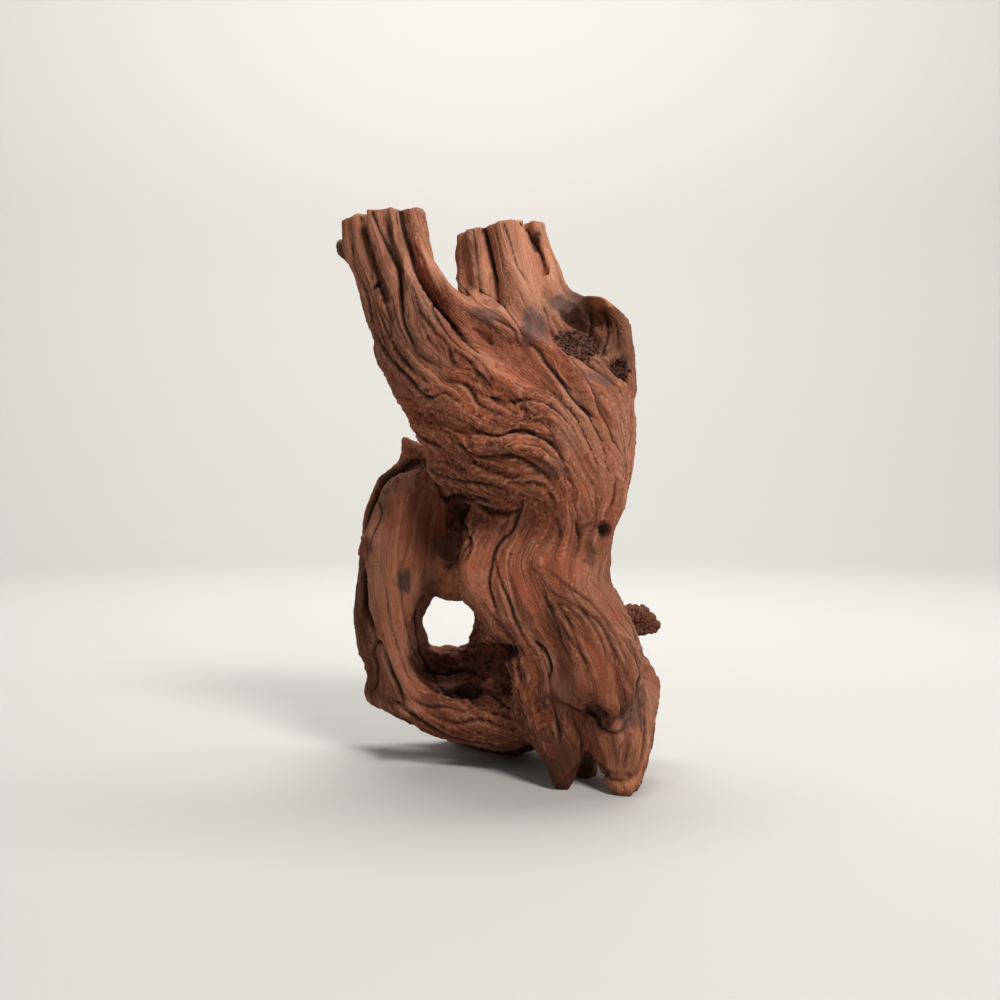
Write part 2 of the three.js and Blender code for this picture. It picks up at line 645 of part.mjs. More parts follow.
// Only the largest connected skin, without crumbs or sealed pockets.
function largestSkin({ points, faces }) {
  const parent = points.map((_, i) => i);
  const root = (i) => {
    while (parent[i] !== i) i = parent[i] = parent[parent[i]];
    return i;
  };
  for (const [a, b, c] of faces) {
    parent[root(b)] = root(a);
    parent[root(c)] = root(a);
  }
  const counts = new Map();
  for (const [a] of faces) counts.set(root(a), (counts.get(root(a)) ?? 0) + 1);
  const main = [...counts].sort((p, q) => q[1] - p[1])[0][0];
  const kept = new Map();
  const keptPoints = [];
  const renumber = (i) => {
    if (!kept.has(i)) {
      kept.set(i, keptPoints.length);
      keptPoints.push(points[i]);
    }
    return kept.get(i);
  };
  const keptFaces = faces.filter(([a]) => root(a) === main).map((face) => face.map(renumber));
  return { points: keptPoints, faces: keptFaces };
}

// The fibres' direction over the piece: near each strand it follows that strand.
function combFibres() {
  const grid = new Grid(fibreCell, ...extent(strands), 3);
  const { values } = grid;
  const reach = 12;
  for (const line of strands)
    grid.around(line, reach, (at, x, y, z) => {
      const gap = strandDistance(line, x, y, z);
      const a = line[nearest.bit - 1];
      const b = line[nearest.bit];
      const pull = Math.exp(-Math.max(gap + 2, 0) / 3) / Math.hypot(b[0] - a[0], b[1] - a[1], b[2] - a[2]);
      const along = [b[0] - a[0], b[1] - a[1], b[2] - a[2]];
      const agree = along.reduce((sum, v, n) => sum + v * values[at * 3 + n], 0) < 0 ? -pull : pull;
      for (let n = 0; n < 3; n++) values[at * 3 + n] += along[n] * agree;
    });
  return grid;
}

const fibres = combFibres();

function fibreAt(point) {
  const at = fibres.index(...point.map((v, n) => Math.round((v - fibres.low[n]) / fibres.step)));
  const along = [0, 1, 2].map((n) => fibres.values[at * 3 + n] || 0);
  const length = Math.hypot(...along) || 1;
  return along.map((v) => v / length);
}

// Smooth noise from -1 to 1, the same on every run.
function lattice(i, j, k) {
  let h = Math.imul(i, 374761393) + Math.imul(j, 668265263);
  h += Math.imul(k, 2147483647) + Math.imul(seed, 1274126177);
  h = Math.imul(h ^ (h >>> 13), 1274126177);
  return ((h ^ (h >>> 16)) >>> 0) / 2147483648 - 1;
}

function noise(x, y, z) {
  const i = Math.floor(x), j = Math.floor(y), k = Math.floor(z);
  const [u, v, w] = [x - i, y - j, z - k].map((t) => t * t * (3 - 2 * t));
  const { lerp } = THREE.MathUtils;
  const row = (dj, dk) => lerp(lattice(i, j + dj, k + dk), lattice(i + 1, j + dj, k + dk), u);
  return lerp(lerp(row(0, 0), row(1, 0), v), lerp(row(0, 1), row(1, 1), v), w);
}

// Noise dragged along the fibres, so that it makes ridges that run with the grain.
function combed(point) {
  let sum = noise(...point.map((v) => v / ridgeWidth));
  for (const way of [-1, 1]) {
    let at = point;
    let heading = fibreAt(point).map((v) => v * way);
    for (let n = 0; n < ridgeSteps; n++) {
      at = at.map((v, axis) => v + heading[axis] * (ridgeRun / 2 / ridgeSteps));
      const next = fibreAt(at);
      const turn = next.reduce((dot, v, axis) => dot + v * heading[axis], 0) < 0 ? -1 : 1;
      heading = next.map((v) => v * turn);
      sum += noise(...at.map((v) => v / ridgeWidth));
    }
  }
  return sum / Math.sqrt(2 * ridgeSteps + 1);
}

function pointNormals({ points, faces }) {
  const normals = points.map(() => [0, 0, 0]);
  for (const face of faces) {
    const [a, b, c] = face.map((i) => points[i]);
    const u = b.map((v, n) => v - a[n]);
    const w = c.map((v, n) => v - a[n]);
    const cross = [u[1] * w[2] - u[2] * w[1], u[2] * w[0] - u[0] * w[2], u[0] * w[1] - u[1] * w[0]];
    for (const i of face) cross.forEach((v, n) => (normals[i][n] += v));
  }
  return normals.map((n) => n.map((v) => v / (Math.hypot(...n) || 1)));
}

// How far a crease moves the skin at a point that the eye sees straight ahead of it.
function creased([x, y, z], facing) {
  const reach = 1 + y / eyeDistance;
  const across = x / reach;
  const up = eyeHeight + (z - eyeHeight) / reach;
  let lift = 0;
  for (const { deep, wide, behind, line } of creases) {
    if (y > behind) continue;
    let gap = Infinity;
    for (let i = 1; i < line.length; i++) {
      const [ax, az] = line[i - 1];
      const [bx, bz] = line[i];
      const dx = bx - ax;
      const dz = bz - az;
      const t = THREE.MathUtils.clamp(((across - ax) * dx + (up - az) * dz) / (dx * dx + dz * dz), 0, 1);
      gap = Math.min(gap, Math.hypot(across - ax - t * dx, up - az - t * dz));
    }
    lift -= creaseGain * deep * Math.max(0, 1 - gap / wide);
  }
  return lift * THREE.MathUtils.clamp(2 * facing, 0, 1);
}

function ridge(skin) {
  const normals = pointNormals(skin);
  const calm = Object.keys(wood).filter((name) => name.startsWith("blade")).map((name) => joints(wood[name]));
  return {
    points: skin.points.map((point, i) => {
      const crest = THREE.MathUtils.clamp(ridgeGain * combed(point), -1, 1);
      const away = Math.min(...calm.map((line) => strandDistance(line, ...point)));
      const strength = ridgeHeight * THREE.MathUtils.clamp(away / 6, 0.2, 1);
      const lift = strength * crest + creased(point, -normals[i][1]);
      return point.map((v, n) => v + normals[i][n] * lift);
    }),
    faces: skin.faces,
  };
}

// A heap of [cost, ...] entries, cheapest first.
class Heap {
  entries = [];

  push(entry) {
    const { entries } = this;
    let at = entries.push(entry) - 1;
    while (at > 0) {
      const up = (at - 1) >> 1;
      if (entries[up][0] <= entry[0]) break;
      entries[at] = entries[up];
      at = up;
    }
    entries[at] = entry;
  }

  pop() {
    const { entries } = this;
    const top = entries[0];
    const last = entries.pop();
    if (entries.length) {
      let at = 0;
      for (;;) {
        let down = 2 * at + 1;
        if (down >= entries.length) break;
        if (down + 1 < entries.length && entries[down + 1][0] < entries[down][0]) down++;
        if (entries[down][0] >= last[0]) break;
        entries[at] = entries[down];
        at = down;
      }
      entries[at] = last;
    }
    return top;
  }
}

// Folds edges away, the least visible first, until the wanted number of faces is left.
function thin({ points, faces }, wanted) {
  const place3 = points.map((p) => new THREE.Vector3(...p));
  const faceList = faces.map((f) => [...f]);
  const touching = points.map(() => new Set());
  faceList.forEach((f, n) => f.forEach((i) => touching[i].add(n)));
  const age = new Uint32Array(points.length);
  const normalOf = (a, b, c) => b.clone().sub(a).cross(c.clone().sub(a));

  // Each point gathers the planes of its faces: the cost of moving it is its distance from them.
  const planes = points.map(() => new Float64Array(10));
  for (const f of faceList) {
    const [a, b, c] = f.map((i) => place3[i]);
    const n = normalOf(a, b, c);
    const area = n.length() / 2;
    n.normalize();
    const weight = n.y > 0.2 ? area * seenShare : area;
    const p = [n.x, n.y, n.z, -n.dot(a)];
    let slot = 0;
    for (let row = 0; row < 4; row++)
      for (let column = row; column < 4; column++, slot++)
        for (const i of f) planes[i][slot] += p[row] * p[column] * weight;
  }
  const costAt = (q, { x, y, z }) =>
    q[0] * x * x + 2 * q[1] * x * y + 2 * q[2] * x * z + 2 * q[3] * x + q[4] * y * y + 2 * q[5] * y * z +
    2 * q[6] * y + q[7] * z * z + 2 * q[8] * z + q[9];

  const system = new THREE.Matrix3();
  const fold = (a, b) => {
    const q = planes[a].map((v, i) => v + planes[b][i]);
    const middle = place3[a].clone().lerp(place3[b], 0.5);
    const choices = [middle, place3[a], place3[b]];
    system.set(q[0], q[1], q[2], q[1], q[4], q[5], q[2], q[5], q[7]);
    const scale = q[0] + q[4] + q[7];
    if (Math.abs(system.determinant()) > 1e-4 * scale ** 3) {
      const best = new THREE.Vector3(-q[3], -q[6], -q[8]).applyMatrix3(system.invert());
      if (best.distanceTo(middle) < 2 * place3[a].distanceTo(place3[b])) choices.push(best);
    }
    const costs = choices.map((c) => costAt(q, c));
    const pick = costs.indexOf(Math.min(...costs));
    const length = place3[a].distanceToSquared(place3[b]);
    return [Math.max(costs[pick], 0) + 1e-5 * length, a, b, age[a], age[b], choices[pick].clone()];
  };

  const heap = new Heap();
  for (const [a, b, c] of faceList)
    for (const [p, q] of [[a, b], [b, c], [c, a]]) if (p < q) heap.push(fold(p, q));
  const around = (i) => {
    const ring = new Set();
    for (const f of touching[i]) for (const j of faceList[f]) if (j !== i) ring.add(j);
    return ring;
  };
  const turnsOver = (i, other, target) => {
    for (const f of touching[i]) {
      if (faceList[f].includes(other)) continue;
      const before = faceList[f].map((j) => place3[j]);
      const after = faceList[f].map((j) => (j === i ? target : place3[j]));
      const was = normalOf(...before);
      const now = normalOf(...after);
      const longest = Math.max(...after.map((p, n) => p.distanceToSquared(after[(n + 1) % 3])));
      if (was.dot(now) < 0.3 * was.length() * now.length() || now.length() < 0.06 * longest) return true;
    }
    return false;
  };

  let left = faceList.length;
  while (left > wanted && heap.entries.length) {
    const [, a, b, ageA, ageB, target] = heap.pop();
    if (age[a] !== ageA || age[b] !== ageB || !touching[a].size || !touching[b].size) continue;
    const ringA = around(a);
    const shared = [...around(b)].filter((i) => ringA.has(i));
    if (shared.length !== 2 || turnsOver(a, b, target) || turnsOver(b, a, target)) continue;
    for (const f of [...touching[b]]) {
      if (faceList[f].includes(a)) {
        for (const i of faceList[f]) touching[i].delete(f);
        faceList[f] = null;
        left--;
      } else {
        faceList[f] = faceList[f].map((i) => (i === b ? a : i));
        touching[a].add(f);
      }
    }
    touching[b].clear();
    place3[a].copy(target);
    planes[b].forEach((v, i) => (planes[a][i] += v));
    age[a]++;
    age[b]++;
    for (const i of around(a)) heap.push(fold(Math.min(a, i), Math.max(a, i)));
  }
  return { points: place3.map((p) => p.toArray()), faces: faceList.filter(Boolean) };
}

function geometryOf({ points, faces }) {
  const geometry = new THREE.BufferGeometry();
  geometry.setAttribute("position", new THREE.Float32BufferAttribute(points.flat(), 3));
  geometry.setIndex(faces.flat());
  return geometry;
}

const wasm = await Module();
wasm.setup();

function solid(geometry) {
  const bare = geometry.clone();
  bare.deleteAttribute("normal");
  bare.deleteAttribute("uv");
  const merged = mergeVertices(bare);
  return new wasm.Manifold(new wasm.Mesh({
    numProp: 3,
    vertProperties: merged.attributes.position.array,
    triVerts: new Uint32Array(merged.index.array),
  }));
}

function geometryFrom(made) {
  const { vertProperties, triVerts } = made.getMesh();
  const geometry = new THREE.BufferGeometry();
  geometry.setAttribute("position", new THREE.Float32BufferAttribute(vertProperties, 3));
  geometry.setIndex(new THREE.Uint32BufferAttribute(triVerts, 1));
  return geometry;
}

// The feet are sawn level at the surface.
function standLevel(geometry) {
  const slab = new THREE.BoxGeometry(400, 400, 40).translate(0, 0, -20);
  return geometryFrom(solid(geometry).subtract(solid(slab)));
}

function centred(geometry) {
  geometry.computeBoundingBox();
  const middle = geometry.boundingBox.getCenter(new THREE.Vector3());
  geometry.translate(-middle.x, -middle.y, 0);
  geometry.computeVertexNormals();
  return geometry;
}

const skin = ridge(largestSkin(skinOf(growWood())));
const geometry = centred(standLevel(geometryOf(thin(skin, faceCount))));

const driftwood = new THREE.Mesh(
  geometry,
  new THREE.MeshStandardMaterial({ color: 0x8a4f38, roughness: 0.86, metalness: 0 }),
);
driftwood.name = "driftwood";

const piece = new THREE.Group();
piece.add(driftwood);

export default piece;
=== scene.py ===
import bmesh
import bpy
import math
import numpy as np
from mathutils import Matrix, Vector
from mathutils.bvhtree import BVHTree


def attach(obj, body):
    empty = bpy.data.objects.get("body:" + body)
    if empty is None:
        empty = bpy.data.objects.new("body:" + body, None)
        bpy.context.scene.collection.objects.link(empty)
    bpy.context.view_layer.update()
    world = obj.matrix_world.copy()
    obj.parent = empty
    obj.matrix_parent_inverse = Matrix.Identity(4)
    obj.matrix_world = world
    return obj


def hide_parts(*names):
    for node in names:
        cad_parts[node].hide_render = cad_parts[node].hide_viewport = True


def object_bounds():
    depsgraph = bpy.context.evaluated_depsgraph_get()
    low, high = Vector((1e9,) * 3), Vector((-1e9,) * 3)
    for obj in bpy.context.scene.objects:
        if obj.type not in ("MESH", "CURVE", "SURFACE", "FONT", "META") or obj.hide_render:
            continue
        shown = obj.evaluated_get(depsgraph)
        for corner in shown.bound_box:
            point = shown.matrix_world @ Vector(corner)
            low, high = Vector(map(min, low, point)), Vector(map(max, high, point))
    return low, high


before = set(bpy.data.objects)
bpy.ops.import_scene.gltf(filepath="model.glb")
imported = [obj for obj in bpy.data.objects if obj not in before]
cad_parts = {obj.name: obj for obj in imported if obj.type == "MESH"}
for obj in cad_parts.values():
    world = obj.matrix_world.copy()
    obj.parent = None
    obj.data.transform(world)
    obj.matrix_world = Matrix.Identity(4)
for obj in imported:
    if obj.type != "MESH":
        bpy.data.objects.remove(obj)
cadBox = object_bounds()
scene = bpy.context.scene
mm = 0.001

# Camera, floor and light

camera = {
    "eye": (-0.73, -466.85, 124.0),  # mm, level with the middle of the wood
    "lens": 36.0,
    "sensor": 36.0,
    "shift": 0.004,
    "sheet": (-0.73, 3.15),  # where the upright sheet of the front drawings stands, in x and y
}
studio = {
    "floorRadius": 2.4,
    "sweepRadius": 0.9,
    "wallHeight": 1.6,
    "floorTone": (0.47, 0.46, 0.445),
    "worldTone": (0.88, 0.90, 0.93),
    "worldPower": 0.15,
}
# Lights: where, what they are aimed at, width in m, power in W and colour.
lights = {
    "window": ((0.56, -0.88, 1.18), (0.0, 0.0, 0.13), 0.42, 21.5, (1.0, 0.97, 0.93)),
    "lamp": ((0.9, 0.25, 1.1), (0.0, 0.0, 0.15), 0.4, 3.2, (1.0, 0.98, 0.95)),
    "room": ((-1.15, -0.5, 0.8), (0.0, 0.0, 0.13), 0.9, 1.6, (0.97, 0.98, 1.0)),
    "ceiling": ((0.0, 0.6, 1.5), (0.0, 0.0, 0.13), 1.0, 5.0, (1.0, 0.99, 0.97)),
    "wall": ((0.0, 0.7, 1.9), (0.0, 2.4, 0.4), 1.6, 60.0, (1.0, 0.99, 0.96)),
}


def linked(name, data):
    made = bpy.data.objects.new(name, data)
    scene.collection.objects.link(made)
    return made


def newMaterial(name):
    made = bpy.data.materials.new(name)
    made.use_nodes = True
    return made, made.node_tree.nodes["Principled BSDF"]


def addCamera():
    data = bpy.data.cameras.new("camera")
    data.lens = camera["lens"]
    data.sensor_width = camera["sensor"]
    data.shift_x = camera["shift"]
    made = linked("camera", data)
    made.location = Vector(camera["eye"]) * mm
    made.rotation_euler = (math.pi / 2, 0, 0)
    scene.camera = made


def addLight(name, place, aim, size, power, tint):
    data = bpy.data.lights.new(name, "AREA")
    data.shape = "DISK"
    data.size = size
    data.energy = power
    data.color = tint
    made = linked(name, data)
    made.location = place
    made.rotation_euler = (Vector(aim) - Vector(place)).to_track_quat("-Z", "Y").to_euler()


def addStudio():
    reach, bend, top = studio["floorRadius"], studio["sweepRadius"], studio["wallHeight"]
    profile = [(0.3, 0.0), (1.0, 0.0), (reach - bend, 0.0)]
    for step in range(1, 13):  # the floor turns up into a pale wall all round
        turn = math.pi / 2 * step / 12
        profile.append((reach - bend + bend * math.sin(turn), bend - bend * math.cos(turn)))
    profile.append((reach, top))
    sides = 72
    points = [(0.0, 0.0, 0.0)]
    for radius, height in profile:
        for side in range(sides):
            turn = 2 * math.pi * side / sides
            points.append((radius * math.cos(turn), radius * math.sin(turn), height))
    faces = [(0, 1 + side, 1 + (side + 1) % sides) for side in range(sides)]
    for ring in range(len(profile) - 1):
        for side in range(sides):
            here = 1 + ring * sides + side
            beside = 1 + ring * sides + (side + 1) % sides
            faces.append((here, here + sides, beside + sides, beside))
    mesh = bpy.data.meshes.new("floor")
    mesh.from_pydata(points, [], faces)
    mesh.polygons.foreach_set("use_smooth", [True] * len(mesh.polygons))
    made = linked("floor", mesh)
    material, shader = newMaterial("floor")
    shader.inputs["Base Color"].default_value = (*studio["floorTone"], 1)
    shader.inputs["Roughness"].default_value = 0.7
    mesh.materials.append(material)
    world = bpy.data.worlds.new("sky")
    world.use_nodes = True
    sky = world.node_tree.nodes["Background"]
    sky.inputs["Color"].default_value = (*studio["worldTone"], 1)
    sky.inputs["Strength"].default_value = studio["worldPower"]
    scene.world = world
    for name, values in lights.items():
        addLight(name, *values)
    scene.view_settings.view_transform = "Standard"


addCamera()
addStudio()
print("camera, floor and light are in place")

# Small tools on numbers

noiseSize = 64  # the random lattice repeats after this many cells


def readPoints(mesh):
    flat = np.empty(len(mesh.vertices) * 3, np.float32)
    mesh.vertices.foreach_get("co", flat)
    return flat.reshape(-1, 3)


def readNormals(mesh):
    flat = np.empty(len(mesh.vertices) * 3, np.float32)
    mesh.vertex_normals.foreach_get("vector", flat)
    return flat.reshape(-1, 3)


def readEnds(mesh):
    flat = np.empty(len(mesh.edges) * 2, np.int32)
    mesh.edges.foreach_get("vertices", flat)
    return flat.reshape(-1, 2)


def spread(values, ends, rounds, share=0.5):
    count = len(values)
    first, second = ends[:, 0], ends[:, 1]
    near = np.bincount(first, minlength=count) + np.bincount(second, minlength=count)
    near = np.maximum(near, 1)
    wide = values.reshape(count, -1).astype(np.float64)
    for _ in range(rounds):
        for column in range(wide.shape[1]):
            now = wide[:, column]
            total = np.bincount(first, weights=now[second], minlength=count)
            total += np.bincount(second, weights=now[first], minlength=count)
            wide[:, column] = now + share * (total / near - now)
    return wide.reshape(values.shape)


def unit(rows):
    return rows / np.maximum(np.linalg.norm(rows, axis=-1, keepdims=True), 1e-12)


def ramp(values, low, high):
    part = np.clip((values - low) / (high - low), 0, 1)
    return part * part * (3 - 2 * part)


def noiseAt(lattice, cells):
    base = np.floor(cells).astype(np.int32)
    part = (cells - base).astype(np.float32)
    part = part * part * (3 - 2 * part)
    base &= noiseSize - 1
    after = (base + 1) & (noiseSize - 1)
    x0, y0, z0 = base.T
    x1, y1, z1 = after.T
    px, py, pz = part.T
    low = (lattice[x0, y0, z0] * (1 - px) + lattice[x1, y0, z0] * px) * (1 - py)
    low += (lattice[x0, y1, z0] * (1 - px) + lattice[x1, y1, z0] * px) * py
    high = (lattice[x0, y0, z1] * (1 - px) + lattice[x1, y0, z1] * px) * (1 - py)
    high += (lattice[x0, y1, z1] * (1 - px) + lattice[x1, y1, z1] * px) * py
    return low * (1 - pz) + high * pz


def curved(points, pieces=6):
    rows = np.array(points, float)
    ends = np.vstack([2 * rows[0] - rows[1], rows, 2 * rows[-1] - rows[-2]])
    made = []
    for at in range(len(rows) - 1):
        a, b, c, d = ends[at:at + 4]
        for step in range(pieces):
            t = step / pieces
            made.append(0.5 * (2 * b + (c - a) * t + (2 * a - 5 * b + 4 * c - d) * t * t
                               + (3 * b - a - 3 * c + d) * t ** 3))
    made.append(rows[-1])
    return np.array(made)


def evenly(points, gap):
    steps = np.linalg.norm(np.diff(points, axis=0), axis=1)
    along = np.concatenate([[0], np.cumsum(steps)])
    count = max(3, int(along[-1] / gap) + 1)
    wanted = np.linspace(0, along[-1], count)
    return np.stack([np.interp(wanted, along, points[:, axis]) for axis in range(3)], axis=1)


# The wood's own lines
# Lines run from the top down, as (across, up) in mm on the sheet that stands in the wood's middle.
# On the flanks, across counts towards the back.

grainLines = {
    "front": [
        [(-69, 258), (-69, 246), (-63, 232), (-58, 216), (-52, 197), (-43, 178), (-31, 159), (-19, 143),
            (-8, 131)],
        [(-59, 259), (-56, 244), (-49, 225), (-44, 209), (-33, 192), (-19, 180), (-8, 169), (4, 162),
            (18, 159)],
        [(-50, 260), (-46, 246), (-39, 230), (-31, 216), (-21, 202), (-8, 189), (0, 178), (14, 171),
            (28, 165), (39, 152), (47, 138), (51, 124)],
        [(-38, 259), (-33, 246), (-26, 230), (-18, 218), (-3, 208), (9, 197), (21, 187), (32, 176),
            (44, 162), (54, 145), (57, 129)],
        [(-30, 236), (-19, 225), (-8, 216), (7, 206), (16, 197), (30, 185), (44, 171), (55, 155),
            (59, 138)],
        [(-43, 171), (-31, 171), (-19, 170), (-10, 162), (2, 156), (16, 156), (28, 150), (37, 138),
            (44, 124)],
        [(-36, 157), (-24, 155), (-12, 148), (2, 145), (14, 143), (23, 136), (30, 126), (37, 117)],
        [(-26, 140), (-15, 138), (-3, 134), (9, 130), (21, 125), (30, 119)],
        [(-17, 246), (-16, 234), (-13, 223), (-8, 216)],
        [(-5, 253), (-3, 239), (0, 225), (4, 216), (11, 204)],
        [(7, 255), (9, 242), (14, 227), (21, 213), (30, 197), (44, 183), (55, 171), (59, 157), (62, 143),
            (60, 129)],
        [(18, 253), (24, 239), (29, 225), (37, 216)],
        [(37, 221), (49, 218), (58, 211), (63, 197), (63, 180), (63, 166)],
        [(62, 133), (56, 117), (52, 103), (49, 89), (48, 77), (56, 65), (68, 49)],
        [(49, 124), (45, 110), (42, 96), (40, 82), (49, 70), (61, 54), (72, 39)],
        [(35, 124), (30, 110), (25, 96), (29, 82), (42, 68), (54, 51), (61, 35)],
        [(-19, 122), (-17, 115), (-12, 108), (-16, 96), (-18, 86), (-12, 78)],
        [(-8, 122), (-8, 110), (-13, 96), (-12, 82), (-3, 70), (7, 58), (11, 44), (14, 30)],
        [(4, 119), (2, 105), (-5, 91), (-4, 77), (4, 63), (14, 51), (18, 35), (23, 18)],
        [(16, 119), (11, 108), (4, 96), (4, 82), (11, 68), (21, 54), (25, 35), (30, 16)],
        [(25, 115), (18, 103), (14, 91), (16, 79), (25, 65), (35, 51), (39, 35)],
        [(18, 89), (28, 79), (39, 68), (49, 54), (54, 39), (55, 23)],
        [(25, 89), (39, 77), (51, 65), (59, 49), (62, 30)],
        [(49, 21), (51, 6), (55, -8)],
        [(61, 21), (61, 6), (59, -10)],
        [(70, 35), (70, 16), (65, -3)],
        [(23, 16), (28, 2), (32, -10)],
        [(-47, 133), (-50, 115), (-52, 96), (-52, 77), (-49, 58), (-43, 39), (-31, 23), (-12, 14),
            (11, 11)],
        [(-36, 136), (-38, 115), (-40, 96), (-44, 77), (-44, 58), (-39, 42), (-26, 28), (-3, 18)],
        [(-59, 119), (-62, 96), (-63, 77), (-59, 58), (-52, 39)],
        [(-22, 119), (-24, 100), (-26, 82)],
        [(-36, 54), (-22, 51), (-3, 54)],
        [(-36, 35), (-17, 35), (2, 35)],
    ],
    "back": [
        [(-60, 258), (-50, 225), (-35, 190), (-15, 160), (0, 135), (10, 110), (12, 85), (8, 60), (5, 35),
            (0, 8)],
        [(-40, 258), (-30, 225), (-12, 195), (8, 165), (22, 135), (28, 105), (28, 75), (30, 45),
            (35, 15)],
        [(5, 252), (12, 225), (22, 195), (35, 165), (45, 135), (45, 105), (42, 75), (45, 45), (50, 10)],
        [(18, 252), (30, 222), (45, 195), (56, 165), (58, 135), (52, 105), (50, 75), (55, 40)],
        [(-45, 140), (-55, 115), (-60, 90), (-58, 65), (-50, 40), (-30, 22)],
        [(-30, 135), (-40, 110), (-45, 85), (-42, 60), (-32, 40), (-10, 22)],
        [(-15, 120), (-12, 100), (-8, 80), (-8, 55)],
    ],
    "left": [
        [(20, 255), (19, 200), (20, 150)],
        [(0, 255), (0, 200), (0, 150)],
        [(45, 110), (46, 60), (42, 20)],
        [(30, 125), (31, 70), (32, 20)],
        [(12, 115), (12, 60), (10, 40)],
    ],
    "right": [
        [(18, 250), (18, 200), (17, 150), (15, 100), (20, 50), (24, 8)],
        [(35, 200), (33, 150), (32, 100), (34, 60)],
        [(-5, 180), (-12, 150), (-14, 115), (-25, 90), (-36, 60), (-40, 20)],
    ],
}

